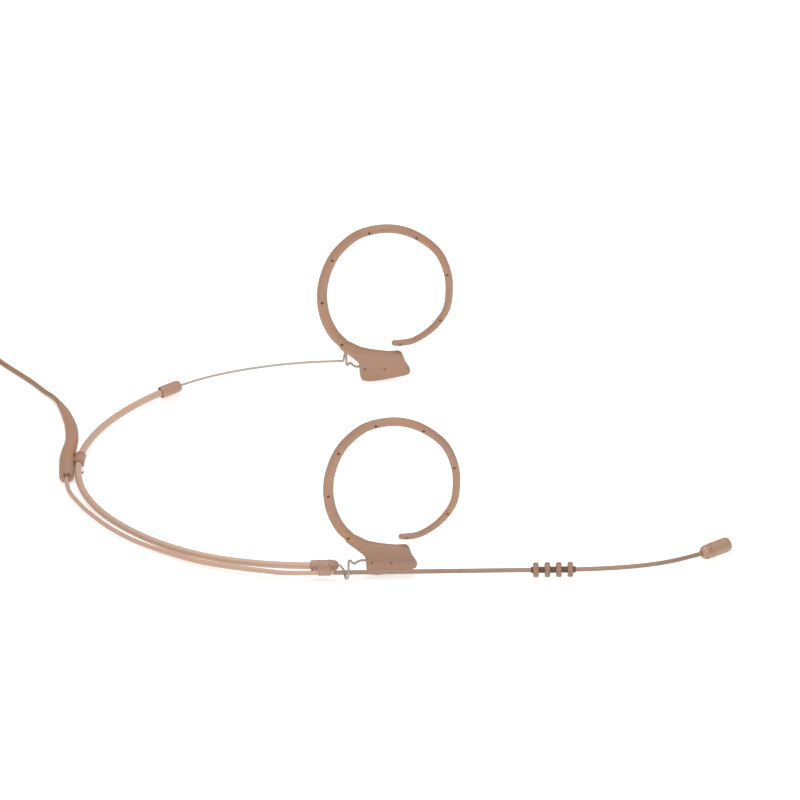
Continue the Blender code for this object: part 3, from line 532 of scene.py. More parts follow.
def build_connector():
    """A three-pole locking connector: a knurled shell, its rubber relief, insert, contacts and latch."""
    place, along, side = CONNECTOR_PLACE, Vector((0.0, -1.0, 0.0)), Vector((1.0, 0.0, 0.0))
    pieces = {}
    ribs = []
    for number in range(7):
        low = 2.2 + 1.55 * number
        size = 1.55 + (2.75 - 1.55) * low / 13.4
        ribs += [(size + 0.12, low), (size + 0.16, low + 0.75)]
        ribs += [(size - 0.22, low + 0.9), (size - 0.2, low + 1.4)]
    relief_profile = [(0.0, 15.4), (3.35, 15.4), (3.4, 15.3), (3.4, 13.65), (2.75, 13.4), *ribs[::-1]]
    relief_profile += [(1.6, 1.6), (1.5, 0.2), (1.35, -0.1), (1.0, -0.1), (0.98, 0.6), (0.0, 0.6)]
    pieces["connector_relief"] = turned("relief", relief_profile, place, along, 40)
    shell_profile = [
        (3.95, 38.0), (4.55, 38.0), (4.85, 37.7), (4.85, 24.0), (4.7, 23.8), (4.7, 23.2),
        (4.85, 23.0), (4.85, 17.0), (4.35, 13.0), (3.65, 12.3), (2.95, 12.3), (2.95, 13.3),
        (3.6, 13.3), (3.6, 21.0), (3.95, 21.3),
    ]
    shell = turned("shell", rounded(shell_profile, 0.15), place, along, 64)
    cut(shell, block("slot", (3.0, 12.0, 2.6), place + Vector((0.0, -29.5, 4.4)) * MM, edge=0.25))
    grooves = []
    for number in range(28):
        turn = 2 * math.pi * number / 28
        grooves.append(rod("groove", 0.24, 17.7, 22.1, around(place, side, UP, turn, 4.98), along, 8))
    cut(shell, joined("grooves", grooves))
    pieces["connector_shell"] = shaded(shell, 34)
    pieces["connector_chuck"] = tube_ring("chuck", 1.1, 3.4, 15.7, 20.4, place, along)
    insert = rod("insert", 3.4, 24.0, 36.0, place, along, 48, 0.3)
    poles = [around(place, side, UP, math.radians(30 + 120 * number), 1.75) for number in range(3)]
    holes = [rod("hole", 0.62, 22.0, 40.0, pole, along, 20) for pole in poles]
    holes.append(block("key", (1.1, 16.0, 0.9), place + Vector((0.0, -30.0, -3.3)) * MM))
    pieces["connector_insert"] = shaded(cut(insert, joined("holes", holes)), 34)
    for number, pole in enumerate(poles, 1):
        pieces[f"connector_contact_{number}"] = tube_ring("contact", 0.3, 0.55, 21.4, 35.6, pole, along, 20)
    middle = place + Vector((0.0, -29.5, 4.45)) * MM
    latch = block("latch", (2.4, 11.0, 0.9), middle, edge=0.18)
    thumb = block("thumb", (2.0, 4.0, 1.0), middle + Vector((0.0, -1.5, 0.75)) * MM, edge=0.3)
    fuse(latch, thumb)
    grips = []
    for number in range(4):
        spot = middle + Vector((0.0, -2.7 + 0.8 * number, 1.25)) * MM
        grips.append(rod("grip", 0.17, -1.4, 1.4, spot, side, 8))
    cut(latch, joined("grips", grips))
    pieces["connector_latch"] = shaded(latch, 34)
    return pieces


# ---------------------------------------------------------------- neckband and its sleeves

SHEATH_PLACES = (
    (-4.3, -1.5), (-4.2, -8.0), (-3.0, -14.5), (0.9, -22.6), (5.1, -29.4), (13.4, -39.9),
    (25.3, -50.3), (45.1, -61.9), (60.9, -67.3), (72.3, -70.25), (77.8, -71.5),
)
SHEATH_END = 97.25
# The boot's middle line, half its width, and half its hollow's width.
BOOT_PLACES = (
    (-4.35, -5.3, 2.1, 1.0), (-4.35, -5.0, 2.5, 1.02), (-4.35, -4.3, 2.8, 1.1),
    (-4.35, -2.0, 2.92, 1.5), (-4.35, 0.5, 2.95, 2.05), (-4.3, 7.0, 2.95, 2.05),
    (-3.75, 12.0, 2.8, 1.9), (-2.9, 17.0, 2.6, 1.7), (-2.5, 22.0, 2.55, 1.65),
    (-2.75, 27.5, 2.45, 1.55), (-3.8, 33.3, 2.15, 1.25), (-5.3, 38.8, 1.75, 0.85),
    (-7.5, 44.6, 1.2, 0.75),
)
BOOT_HEIGHT_SHARE = 0.88
BOOT_Z = BACK_Z - 0.15
# The bore of the sheath and the boom, and the radius of the signal wire in both.
TUBE_BORE_R = 0.67
SIGNAL_R = 0.3
SLEEVE_HALF = {FAR: 4.3, NEAR: 5.3}
# The band clip: its middle, outer and inner radius, half its length, how far it turns, and its finger.
CLIP_Y = 6.8
CLIP_R = (2.12, 1.5)
CLIP_HALF = 3.0
CLIP_TURN = math.radians(8.4)
CLIP_FINGER = ((-0.35, 4.8, 1.25), (-0.35, 3.0, 0.98), (0.4, 1.2, 0.85), (1.55, 0.0, 1.5), (2.0, -0.4, 2.5))


def build_neckband():
    """The neckband, from the far sleeve round the back to the near sleeve."""
    far_half = neck_route(0.0, FAR_SLEEVE_HEADING + 0.5, FAR)
    near_half = neck_route(0.0, NEAR_SLEEVE_HEADING, NEAR)
    route = [*reversed(far_half), *near_half[1:]]
    return {"neckband_tube": swept("neckband", route, BAND_R, 32, hollow=BAND_BORE_R)}


def build_far_sleeve():
    """The far sleeve: its outside from the front, then its bore from the rear, with a stop for the bush."""
    place, along = neck_place(FAR_SLEEVE_HEADING, FAR)
    half, stop = SLEEVE_HALF[FAR], 3.6
    profile = [(0.75, half), (1.75, half), (2.2, half - 0.7), (2.32, half - 1.3)]
    profile += [(2.32, 0.3 - half), (2.2, -half)]
    profile += [(1.9, -half), (1.9, 0.9 - half), (1.52, 0.9 - half), (1.52, stop), (0.75, stop), (0.75, half)]
    sleeve = turned("far_sleeve_shell", rounded(profile, 0.16), place, along, 64)
    bush = tube_ring("far_bush", 0.6, 1.38, 1.3, 3.4, place, along)
    return {"far_sleeve": sleeve, "far_sleeve_bush": bush}


def build_near_sleeve():
    """The near sleeve, with the clip for the sheath melted onto it, its ribs, cheeks and bores."""
    place, along = neck_place(NEAR_SLEEVE_HEADING, NEAR)
    half = SLEEVE_HALF[NEAR]
    outside = [
        (0.0, half), (1.1, half), (1.6, half - 0.45), (1.98, half - 1.2), (2.15, half - 2.1),
        (2.2, half - 3.0), (2.2, 0.5 - half), (2.0, -half), (0.0, -half),
    ]
    sleeve = turned("near_sleeve_shell", rounded(outside, 0.12), place, along, 64)
    clip_middle = boom_point(94.0)
    web_middle = (clip_middle + place) / 2 + Vector((0.0, -0.5, 0.0)) * MM
    web_middle.x = clip_middle.x
    web = block("web", (5.2, 2.5, 2.3), web_middle, edge=0.4)
    fuse(sleeve, web, rod("clip", 1.18, -2.4, 2.3, clip_middle, BOOM_ALONG, 40, 0.2))
    melted(sleeve, 0.085, 9)
    for low, high in ((1.6, 2.2), (-2.45, -1.85)):
        rib = [(1.9, low), (2.3, low), (2.38, low + 0.1), (2.38, high - 0.1), (2.3, high), (1.9, high)]
        fuse(sleeve, turned("rib", rib, place, along, 64))
    # A flat cheek between the ribs and a step behind the nose, on the side away from the head.
    out = Vector((0.0, -math.cos(VIEW_ELEVATION), math.sin(VIEW_ELEVATION)))
    cheek_turn = facing(out)
    cheek = place + (out * 2.42 - along * 0.1) * MM
    down = Vector((0.0, -0.97, -0.22))
    cut(
        sleeve,
        block("cheek", (2.9, 3.3, 0.7), cheek, cheek_turn, 0.1),
        block("step", (0.3, 3.6, 0.8), cheek + along * 2.75 * MM, cheek_turn),
        rod("bore", 1.52, -half - 0.5, 4.2, place, along, 40),
        rod("rear", 1.9, -half - 0.5, 0.9 - half, place, along, 40),
        rod("front", 0.75, 4.0, half + 0.5, place, along, 24),
        rod("channel", 0.97, -6.0, 6.0, clip_middle, BOOM_ALONG, 32),
        block("notch", (1.7, 2.1, 1.1), place + (down * 2.3 - along * 3.7) * MM, facing(down), 0.12),
    )
    bush = tube_ring("near_bush", 0.6, 1.38, 1.2, 4.0, place, along)
    return {"near_sleeve": shaded(sleeve, 38), "near_sleeve_bush": bush}


def sheath_route():
    rise = math.tan(BAND_TILT)
    places = [headset(x, y, BACK_Z + x * rise) for x, y in SHEATH_PLACES]
    straight = [boom_point(x) for x in (83.0, 90.0, SHEATH_END)]
    return [*smooth([*places, straight[0]], 6), *straight[1:]]


def build_sheath():
    """The sheath, a little fuller where it runs along the neckband."""
    route = sheath_route()
    middle = headset(52.0, -64.0, 4.5)
    sizes = [0.86 + 0.16 * math.exp(-(((point - middle).length / (34 * MM)) ** 2)) for point in route]
    sheath = swept("sheath", route, sizes, 24, hollow=TUBE_BORE_R)
    core = swept("sheath_core", trimmed(route[:-3], 1.2, -1.5), SIGNAL_R, 12)
    return {"boom_sheath": sheath, "sheath_signal_core": core}


def build_boot():
    """The boot, with a pocket and a seat for the band clip and a recess above the sheath's way in."""
    line = smooth([headset(x, y, BOOT_Z) for x, y, _, _ in BOOT_PLACES], 5)
    sizes = smooth([Vector((outer, inner)) for _, _, outer, inner in BOOT_PLACES], 5)
    outer, inner = [size.x for size in sizes], [size.y for size in sizes]
    shell = swept("boot", line, outer, 48, hollow=inner, squat=BOOT_HEIGHT_SHARE, upright=UP)
    cut(
        shell,
        block("pocket", (3.0, 3.4, 2.0), headset(-2.5, CLIP_Y, BOOT_Z)),
        block("seat", (2.0, 6.7, 6.0), headset(-0.9, CLIP_Y, BOOT_Z), edge=0.2),
        block("recess", (2.5, 2.6, 1.7), headset(-4.35, -5.5, BOOT_Z + 1.45), edge=0.3),
    )
    ferrule = tube_ring("ferrule", 0.98, 1.3, -2.6, 1.5, headset(-4.35, 2.6, BOOT_Z), (0, -1, 0))
    anchor = tube_ring("anchor", 0.5, 1.1, -2.5, 2.5, headset(-2.6, 20.5, BOOT_Z), (0.06, 1, 0))
    return {"boot_shell": shaded(shell, 40), "boot_crimp_ferrule": ferrule, "cord_anchor_sleeve": anchor}


def build_band_clip():
    """The C clip on the neckband tube, its stem in the boot and its finger under the tube."""
    work = bmesh.new()
    along = Vector((math.sin(CLIP_TURN), math.cos(CLIP_TURN), 0.0))
    side = Vector((along.y, -along.x, 0.0))
    middle = headset(0.54, CLIP_Y, BACK_Z + 0.02)
    steps, edge, half = 44, 0.12, CLIP_HALF
    turns = [math.radians(-30 + 275 * number / steps) for number in range(steps + 1)]
    outer, inner = CLIP_R
    rings = []
    for depth, inset in ((-half, edge), (edge - half, 0.0), (half - edge, 0.0), (half, edge)):
        place = middle + along * depth * MM
        ring = [around(place, side, UP, turn, outer - inset) for turn in turns]
        ring += [around(place, side, UP, turn, inner + 0.6 * inset) for turn in reversed(turns)]
        rings.append([work.verts.new(spot) for spot in ring])
    for before, after in zip(rings, rings[1:]):
        bridge(work, before, after)
    for number in range(steps):
        for ring in (rings[0], rings[-1]):
            work.faces.new((ring[number], ring[number + 1], ring[-2 - number], ring[-1 - number]))
    clip = finished("clip", work)
    stem = block("stem", (1.7, 3.0, 1.6), headset(-1.9, CLIP_Y, BOOT_Z), edge=0.15)
    finger_route = smooth([headset(*spot) for spot in CLIP_FINGER], 6)
    fuse(clip, stem, swept("finger", finger_route, 0.42, 20, domes=(0.3, 0.42)))
    for depth in (2.05, 1.3):
        spot = middle + (along * depth + UP * 2.05 - side * 0.3) * MM
        cut(clip, block("slit", (2.4, 0.22, 0.5), spot, Matrix.Rotation(-CLIP_TURN, 3, "Z")))
    return {"band_clip": shaded(clip, 38)}


# ---------------------------------------------------------------- ear hooks

EYE_PLACES = (
    (99.6, 67.65, 6.3), (100.6, 68.9, 5.3), (101.0, 71.0, 4.45), (101.3, 73.8, 4.5),
    (101.7, 75.4, 5.6), (102.0, 75.4, 6.9), (102.1, 73.8, 7.6), (102.1, 70.5, 7.6),
    (102.1, 66.8, 7.0), (102.2, 65.1, 6.6), (102.7, 64.9, 6.4), (103.3, 66.2, 6.3),
    (103.9, 66.4, 6.2), (104.6, 65.1, 6.1), (105.7, 64.2, 6.1), (107.5, 64.1, 6.1),
)
LOOP_PLACES = (
    (105.5, 12.2, 1.5), (100.9, 17.0, 2.0), (97.2, 21.6, 2.1), (94.2, 28.7, 2.1),
    (92.9, 36.5, 2.05), (93.1, 43.5, 2.0), (94.6, 50.4, 1.95), (96.9, 56.3, 1.9),
    (100.1, 61.3, 1.85), (105.4, 66.6, 1.8), (110.9, 69.2, 1.75), (117.6, 70.3, 1.72),
    (124.0, 69.3, 1.7), (129.8, 66.4, 1.66), (135.1, 61.9, 1.6), (138.4, 57.0, 1.57),
    (140.7, 50.0, 1.54), (141.4, 42.8, 1.5), (140.6, 34.0, 1.45), (137.6, 27.6, 1.4),
    (133.3, 22.4, 1.32), (127.6, 18.3, 1.25), (122.8, 17.2, 1.25), (119.3, 17.2, 1.15),
)
PAD_OUTLINE = (
    (99.0, 16.2), (100.7, 14.0), (102.8, 12.2), (105.5, 9.7), (106.7, 8.2), (107.0, 6.7),
    (107.2, 3.4), (107.6, 1.3), (108.8, 0.25), (110.2, 0.0), (112.6, 0.0), (121.0, 1.7),
    (125.4, 2.9), (126.4, 3.9), (126.4, 5.2), (124.6, 8.5), (123.7, 11.4), (122.9, 12.7),
    (121.8, 13.1), (118.6, 12.9), (113.7, 13.4), (107.5, 14.8), (102.0, 18.0),
)
LOOP_HOLES = (
    (100.4, 17.5), (92.9, 37.0), (96.8, 56.6), (110.9, 69.2), (128.9, 66.9), (140.6, 49.8),
    (138.0, 28.5), (122.6, 17.3),
)
PAD_HOLES = ((109.2, 6.0), (116.7, 5.9))
# The rounded ridge along the pad's top edge, where the loop's tube runs out: (x, z, half width).
RIDGE_PLACES = (
    (102.0, 15.8, 1.7), (105.2, 13.2, 1.55), (109.0, 12.5, 1.4), (113.7, 11.9, 1.35),
    (118.6, 11.5, 1.3), (121.6, 11.4, 1.2),
)
SOCKET_X = (108.0, 119.5)
PAD_HALF = 1.5
HOOK_WIRE_R = 0.455
HOOK_CORE_R = 0.5
# The pin holes' radius, and how far from the hook's middle plane those in the loop and the pad stop.
PIN_R = 0.56
LOOP_FLOOR = 0.75
PAD_FLOOR = 1.08


def hook_line(places, shift, side):
    """A smooth line in a hook's plane, and its half width at each point."""
    line = smooth([hook_point(x, z, shift, side) for x, z, _ in places], 4)
    return line, [size.x for size in smooth([Vector((half, 0.0)) for _, _, half in places], 4)]


def build_ear_loop(name, shift, side):
    """The moulded hook: its tapering loop, its pad and the ridge on it, as one skin with pin holes."""
    line, sizes = hook_line(LOOP_PLACES, shift, side)
    loop = swept(name, line, sizes, 28, domes=(0.8, 1.1))
    flat = smooth([hook_point(x, z, shift, side) for x, z in PAD_OUTLINE], 2, closed=True)
    pad = slab("pad", flat, 2 * PAD_HALF, (0, 1, 0))
    modified(pad, "BEVEL", width=0.7 * MM, segments=3, limit_method="ANGLE", angle_limit=math.radians(50))
    ridge_line, ridge_sizes = hook_line(RIDGE_PLACES, shift, side)
    ridge = swept("ridge", ridge_line, ridge_sizes, 24, domes=(1.0, 0.9), squat=1.26, upright=(0, 1, 0))
    fuse(loop, pad, ridge)
    melted(loop, 0.27, 5)
    bore = swept("bore", trimmed(line[:-4], -0.6, 0.4), HOOK_CORE_R + 0.1, 12)
    socket_start = hook_point(SOCKET_X[0], HOOK_AXIS_Z, shift, side)
    room = rod("socket_room", 0.95, -2.0, SOCKET_X[1] - SOCKET_X[0] + 0.1, socket_start, (1, 0, 0), 20)
    holes = [(hook_point(x, z, shift, side), LOOP_FLOOR) for x, z in LOOP_HOLES]
    holes += [(hook_point(x, z, shift, side), PAD_FLOOR) for x, z in PAD_HOLES]
    pins = []
    for spot, floor in holes:
        for low, high in ((-3.5, -floor), (floor, 3.5)):
            pins.append(rod("pin", PIN_R, low, high, spot, (0, 1, 0), 16))
    cut(loop, bore, room, joined("pins", pins))
    # The holes' walls and floors take the loop's second material, painted near-black as the shade deep in a
    # hole.
    for face in loop.data.polygons:
        for spot, floor in holes:
            if math.hypot(face.center.x - spot.x, face.center.z - spot.z) < 1.02 * PIN_R * MM:
                if abs(face.normal.y) < 0.5 or abs(face.center.y - spot.y) < (floor + 0.1) * MM:
                    face.material_index = 1
    return shaded(loop, 45)


def build_hook(name, shift, side):
    line, _ = hook_line(LOOP_PLACES, shift, side)
    core = swept(f"{name}_core", trimmed(line[:-4], -1.0, 0.0), HOOK_CORE_R, 12)
    low, high = SOCKET_X
    start = hook_point(low, HOOK_AXIS_Z, shift, side)
    socket = tube_ring(f"{name}_socket", 0.55, 0.9, 0.0, high - low, start, (1, 0, 0), 24)
    loop = build_ear_loop(f"{name}_loop", shift, side)
    return {f"{name}_ear_loop": loop, f"{name}_loop_core": core, f"{name}_pad_socket": socket}


def build_hook_wire(name, inside, shift, side):
    """A hook's wire, from inside the neckband through its eye into the pad, and the stop on its inner end."""
    run = [headset(x + shift * min(1.0, (x - 99.0) / 8.0), side * y, z) for x, y, z in EYE_PLACES]
    tip = hook_point(SOCKET_X[1] - 1.0, HOOK_AXIS_Z, shift, side)
    wire = swept(f"{name}_wire", [*inside, *smooth(run, 5), tip], HOOK_WIRE_R, 16, domes=(0.2, 0.2))
    middle, along = (inside[0] + inside[1]) / 2, inside[1] - inside[0]
    stop = tube_ring(f"{name}_stop", 0.505, 0.78, -0.7, 0.7, middle, along, 20)
    return {f"{name}_hook_wire": wire, f"{name}_wire_stop": stop}


# ---------------------------------------------------------------- boom, shield and capsule

BOOM_REAR_X = 97.4
BOOM_BEND_X = 170.0
BOOM_R = 0.88
TAIL_X = (84.2, 112.0)
BOOM_FRONT = (
    (198.0, -69.35), (206.0, -68.6), (213.5, -67.5), (220.3, -66.0), (226.4, -64.1), (232.2, -61.7),
    (237.6, -59.2),
)
SHIELD_DISCS = (174.1, 178.45, 182.8, 187.15)
CAPSULE_PLACE = (242.3, -56.2, BOOM_Z)


def boom_route():
    straight = [boom_point(BOOM_REAR_X + (BOOM_BEND_X - BOOM_REAR_X) * n / 24) for n in range(25)]
    front = [boom_point(190.0)] + [headset(x, y, BOOM_Z) for x, y in BOOM_FRONT]
    return [*straight, *smooth(front, 6)]


def build_boom():
    route = boom_route()
    boom = swept("boom", route, BOOM_R, 24, hollow=TUBE_BORE_R)
    core_route = [boom_point(TAIL_X[0] - 0.6), *trimmed(route[1:], 0.0, 0.8)]
    core = swept("boom_core", core_route, SIGNAL_R, 12)
    return {"boom_tube": boom, "boom_signal_core": core}


def build_shield():
    """The moisture shield: rounded discs on a ribbed sleeve."""
    start = boom_point(172.2)
    profile = [(0.95, 17.0), (1.1, 17.0)]
    for number in range(17):
        top = 16.6 - 0.98 * number
        profile += [(1.28, top), (1.28, top - 0.42), (1.13, top - 0.55), (1.13, top - 0.9)]
    sleeve = turned("shield_core", [*profile, (1.1, 0.0), (0.95, 0.0)], start, BOOM_ALONG, 32)
    pieces = {"shield_sleeve": sleeve}
    rear = [(1.32, -0.85), (1.9, -0.88), (2.3, -1.05), (2.5, -1.05), (2.88, -0.7)]
    disc_profile = [*rear, *((radius, -height) for radius, height in reversed(rear))]
    for number, x in enumerate(SHIELD_DISCS, 1):
        disc = turned(f"disc_{number}", rounded(disc_profile, 0.3, 4), boom_point(x), BOOM_ALONG, 64, 45)
        pieces[f"shield_disc_{number}"] = disc
    return pieces


def build_capsule():
    place, along = headset(*CAPSULE_PLACE), CAPSULE_ALONG
    cap_profile = [
        (1.25, 6.3), (1.7, 6.3), (2.35, 6.0), (2.75, 5.35), (2.9, 4.5), (2.9, -2.3), (2.84, -2.5),
        (2.45, -2.5), (2.45, 5.0), (1.25, 5.6),
    ]
    cap = turned("capsule_cap", rounded(cap_profile, 0.3, 4), place, along, 64)
    cup_profile = [
        (2.3, -2.0), (2.3, -2.55), (2.84, -2.55), (2.76, -4.6), (2.35, -5.7), (1.6, -6.3),
        (0.95, -6.3), (0.95, -5.4), (1.9, -5.0), (1.9, -2.0),
    ]
    cup = turned("capsule_cup", rounded(cup_profile, 0.25, 4), place, along, 64)
    side = Vector((along.y, -along.x, 0.0))
    # A moulded recess above the boom's way in, and a crescent vent below it.
    front = (side * 0.82 + UP * 0.57).normalized()
    recess_place = place + (front * 2.75 - along * 3.6) * MM
    vent_turns = [math.radians(-48 + 54 * number / 8) for number in range(9)]
    vent_route = [around(place - along * 5.0 * MM, side, UP, turn, 2.62) for turn in vent_turns]
    cut(
        cup,
        block("recess", (1.9, 1.3, 0.9), recess_place, facing(front), 0.3),
        swept("vent", vent_route, 0.42, 12, domes=(0.2, 0.2)),
    )
    grid = rod("grid", 2.3, 4.65, 4.85, place, along, 48)
    pins = []
    pitch = 0.44
    for row in range(-6, 7):
        for column in range(-6, 7):
            spot = (pitch * (column + 0.5 * (row % 2)), pitch * 0.866 * row)
            if math.hypot(*spot) < 1.75:
                middle = place + (side * spot[0] + UP * spot[1]) * MM
                pins.append(rod("pin", 0.14, 4.5, 5.0, middle, along, 8))
    cut(grid, joined("pins", pins))
    gasket = tube_ring("gasket", 1.5, 2.35, 4.05, 4.55, place, along)
    can_profile = [(1.0, 3.95), (2.3, 3.95), (2.3, -0.6), (2.1, -0.6), (2.1, 3.7), (1.0, 3.7)]
    can = turned("can", rounded(can_profile, 0.12), place, along, 48)
    foil_profile = [(0.0, 3.3), (2.0, 3.3), (2.0, 3.4), (1.75, 3.4)]
    foil_profile += [(1.7, 3.36), (1.2, 3.36), (1.15, 3.4), (0.0, 3.4)]
    foil = turned("diaphragm", foil_profile, place, along, 48)
    plate = rod("backplate", 1.9, 2.4, 3.0, place, along, 48, 0.08)
    spots = [around(place, side, UP, math.radians(60 * number), 1.1) for number in range(6)]
    cut(plate, joined("vents", [rod("vent", 0.16, 2.2, 3.2, spot, along, 10) for spot in spots]))
    board = rod("board", 2.05, -1.7, -0.9, place, along, 48, 0.06)
    spots = [place + (side * x + UP * z) * MM for z in (0.6, -0.6) for x in (1.45, -1.45)]
    cut(board, joined("pads", [rod("pad", 0.22, -1.9, -0.86, spot, along, 12) for spot in spots]))
    chip_turn = facing(along)
    chip = block("chip", (1.6, 1.2, 0.7), place + along * 0.1 * MM, chip_turn, 0.07)
    dot = rod("dot", 0.12, 0.4, 0.6, place + chip_turn @ Vector((0.5, 0.3, 0.0)) * MM, along, 12)
    cut(chip, dot)
    for piece in (cup, grid, plate, board, chip):
        shaded(piece, 34)
    pieces = {"capsule_front_cap": cap, "capsule_rear_cup": cup, "capsule_grid": grid}
    pieces |= {"element_gasket": gasket, "element_can": can, "element_diaphragm": foil}
    return pieces | {"element_backplate": plate, "amplifier_board": board, "amplifier_chip": chip}


def build_tail():
    low, high = TAIL_X
    return {"boom_tail": tube_ring("tail", 0.37, 0.6, 0.0, high - low, boom_point(low), BOOM_ALONG, 24)}


# ---------------------------------------------------------------- materials


class Nodes:
    """A material's node tree, with short ways to add to it."""

    def __init__(self, name):
        self.made = bpy.data.materials.new(name)
        self.made.use_nodes = True
        self.tree = self.made.node_tree
        self.shader = self.tree.nodes["Principled BSDF"]
        self.coords = self.add("ShaderNodeTexCoord").outputs["Object"]

    def add(self, kind, inputs=None, **settings):
        node = self.tree.nodes.new(kind)
        for key, value in settings.items():
            setattr(node, key, value)
        for key, value in (inputs or {}).items():
            node.inputs[key].default_value = value
        return node

    def join(self, source, target):
        """Links one socket to another, or sets the other's own number or colour."""
        if isinstance(source, bpy.types.NodeSocket):
            self.tree.links.new(source, target)
        else:
            target.default_value = (*source, 1.0) if isinstance(source, tuple) else source

    def noise(self, scale, detail=3.0, stretch=None):
        """A noise value. scale is its features per metre."""
        node = self.add("ShaderNodeTexNoise", {"Scale": scale, "Detail": detail})
        source = self.coords
        if stretch:
            mapping = self.add("ShaderNodeMapping", {"Scale": stretch})
            self.join(source, mapping.inputs["Vector"])
            source = mapping.outputs["Vector"]
        self.join(source, node.inputs["Vector"])
        return node.outputs["Fac"]

    def ranged(self, value, low, high, start=0.3, end=0.7):
        limits = {"From Min": start, "From Max": end, "To Min": low, "To Max": high}
        node = self.add("ShaderNodeMapRange", limits)
        self.join(value, node.inputs["Value"])
        return node.outputs["Result"]

    def mixed(self, first, second, share):
        """Two colours, or two colour sockets, mixed by a value socket."""
        node = self.add("ShaderNodeMix", data_type="RGBA")
        self.join(share, node.inputs["Factor"])
        self.join(first, node.inputs[6])
        self.join(second, node.inputs[7])
        return node.outputs[2]

    def math(self, operation, first, second):
        node = self.add("ShaderNodeMath", operation=operation)
        self.join(first, node.inputs[0])
        self.join(second, node.inputs[1])
        return node.outputs[0]

    def bumped(self, height, distance, strength=1.0, under=None):
        node = self.add("ShaderNodeBump", {"Strength": strength, "Distance": distance})
        self.join(height, node.inputs["Height"])
        if under:
            self.join(under, node.inputs["Normal"])
        return node.outputs["Normal"]

    def finish(self, colour, roughness, normal, metallic=0.0, **more):
        self.join(colour, self.shader.inputs["Base Color"])
        self.join(roughness, self.shader.inputs["Roughness"])
        self.join(normal, self.shader.inputs["Normal"])
        self.shader.inputs["Metallic"].default_value = metallic
        for key, value in more.items():
            self.shader.inputs[key.replace("_", " ")].default_value = value
        return self.made


def tinted(colour, red, green, blue):
    return (colour[0] * red, colour[1] * green, colour[2] * blue)


def moulded(name, colour, roughness, grain, patch, tint, dust, coat=0.0, soft=0.0):
    """Moulded plastic or rubber: cloudy pigment, fine texture, rubbed patches and specks."""
    nodes = Nodes(name)
    warm = tinted(colour, 1 + tint, 1 - 0.2 * tint, 1 - tint)
    cool = tinted(colour, 1 - tint, 1 - 0.6 * tint, 1 + 0.3 * tint)
    body = nodes.mixed(warm, cool, nodes.ranged(nodes.noise(patch, 4.0), 0.0, 1.0))
    fine = nodes.noise(1400.0, 5.0)
    dark = tinted(colour, 0.82, 0.80, 0.78)
    body = nodes.mixed(body, dark, nodes.ranged(fine, 0.0, 0.30, 0.42, 0.75))
    specks = nodes.ranged(nodes.noise(5200.0, 1.0), 0.0, dust, 0.66, 0.74)
    pale = tinted(colour, 1.25, 1.28, 1.32)
    body = nodes.mixed(body, pale, specks)
    rubbed = nodes.noise(260.0, 4.0)
    rough = nodes.ranged(rubbed, roughness - 0.09, roughness + 0.09)
    micro = nodes.bumped(nodes.noise(7500.0, 2.0), grain * MM, 0.6)
    normal = nodes.bumped(nodes.noise(900.0, 3.0), 2.2 * grain * MM, 0.45, micro)
    more = {"Subsurface_Weight": soft, "Subsurface_Scale": 0.0006} if soft else {}
    return nodes.finish(body, rough, normal, Coat_Weight=coat, Coat_Roughness=0.3, **more)


def metal(name, colour, roughness, stretch, wear=0.5, scratch=0.02):
    """Drawn or plated metal: scratches along one way, tarnish in patches."""
    nodes = Nodes(name)
    patches = nodes.noise(220.0, 5.0)
    body = nodes.mixed(colour, tinted(colour, 0.62, 0.58, 0.52), nodes.ranged(patches, 0.0, wear, 0.45, 0.72))
    lines = nodes.noise(2600.0, 4.0, stretch)
    body = nodes.mixed(body, tinted(colour, 1.2, 1.2, 1.22), nodes.ranged(lines, 0.0, 0.35, 0.58, 0.72))
    tarnish = nodes.ranged(patches, roughness, roughness + 0.18)
    rough = nodes.math("ADD", nodes.ranged(lines, -0.07, 0.09), tarnish)
    pits = nodes.bumped(nodes.noise(6000.0, 2.0), 0.006 * MM, 0.4)
    normal = nodes.bumped(lines, scratch * MM, 0.5, pits)
    return nodes.finish(body, rough, normal, 1.0)


def painted_metal(name, colour, bare, roughness):
    """Black-coated metal, worn through in small scuffs."""
    nodes = Nodes(name)
    scuffs = nodes.ranged(nodes.noise(700.0, 6.0), 0.0, 1.0, 0.66, 0.70)
    body = nodes.mixed(colour, tinted(colour, 1.7, 1.7, 1.7), nodes.ranged(nodes.noise(150.0, 4.0), 0.0, 1.0))
    body = nodes.mixed(body, bare, scuffs)
    rough = nodes.ranged(nodes.noise(1200.0, 4.0), roughness - 0.08, roughness + 0.12)
    normal = nodes.bumped(nodes.noise(4200.0, 3.0), 0.014 * MM, 0.5)
    made = nodes.finish(body, rough, normal)
    nodes.join(nodes.ranged(scuffs, 0.35, 1.0, 0.0, 1.0), nodes.shader.inputs["Metallic"])
    return made


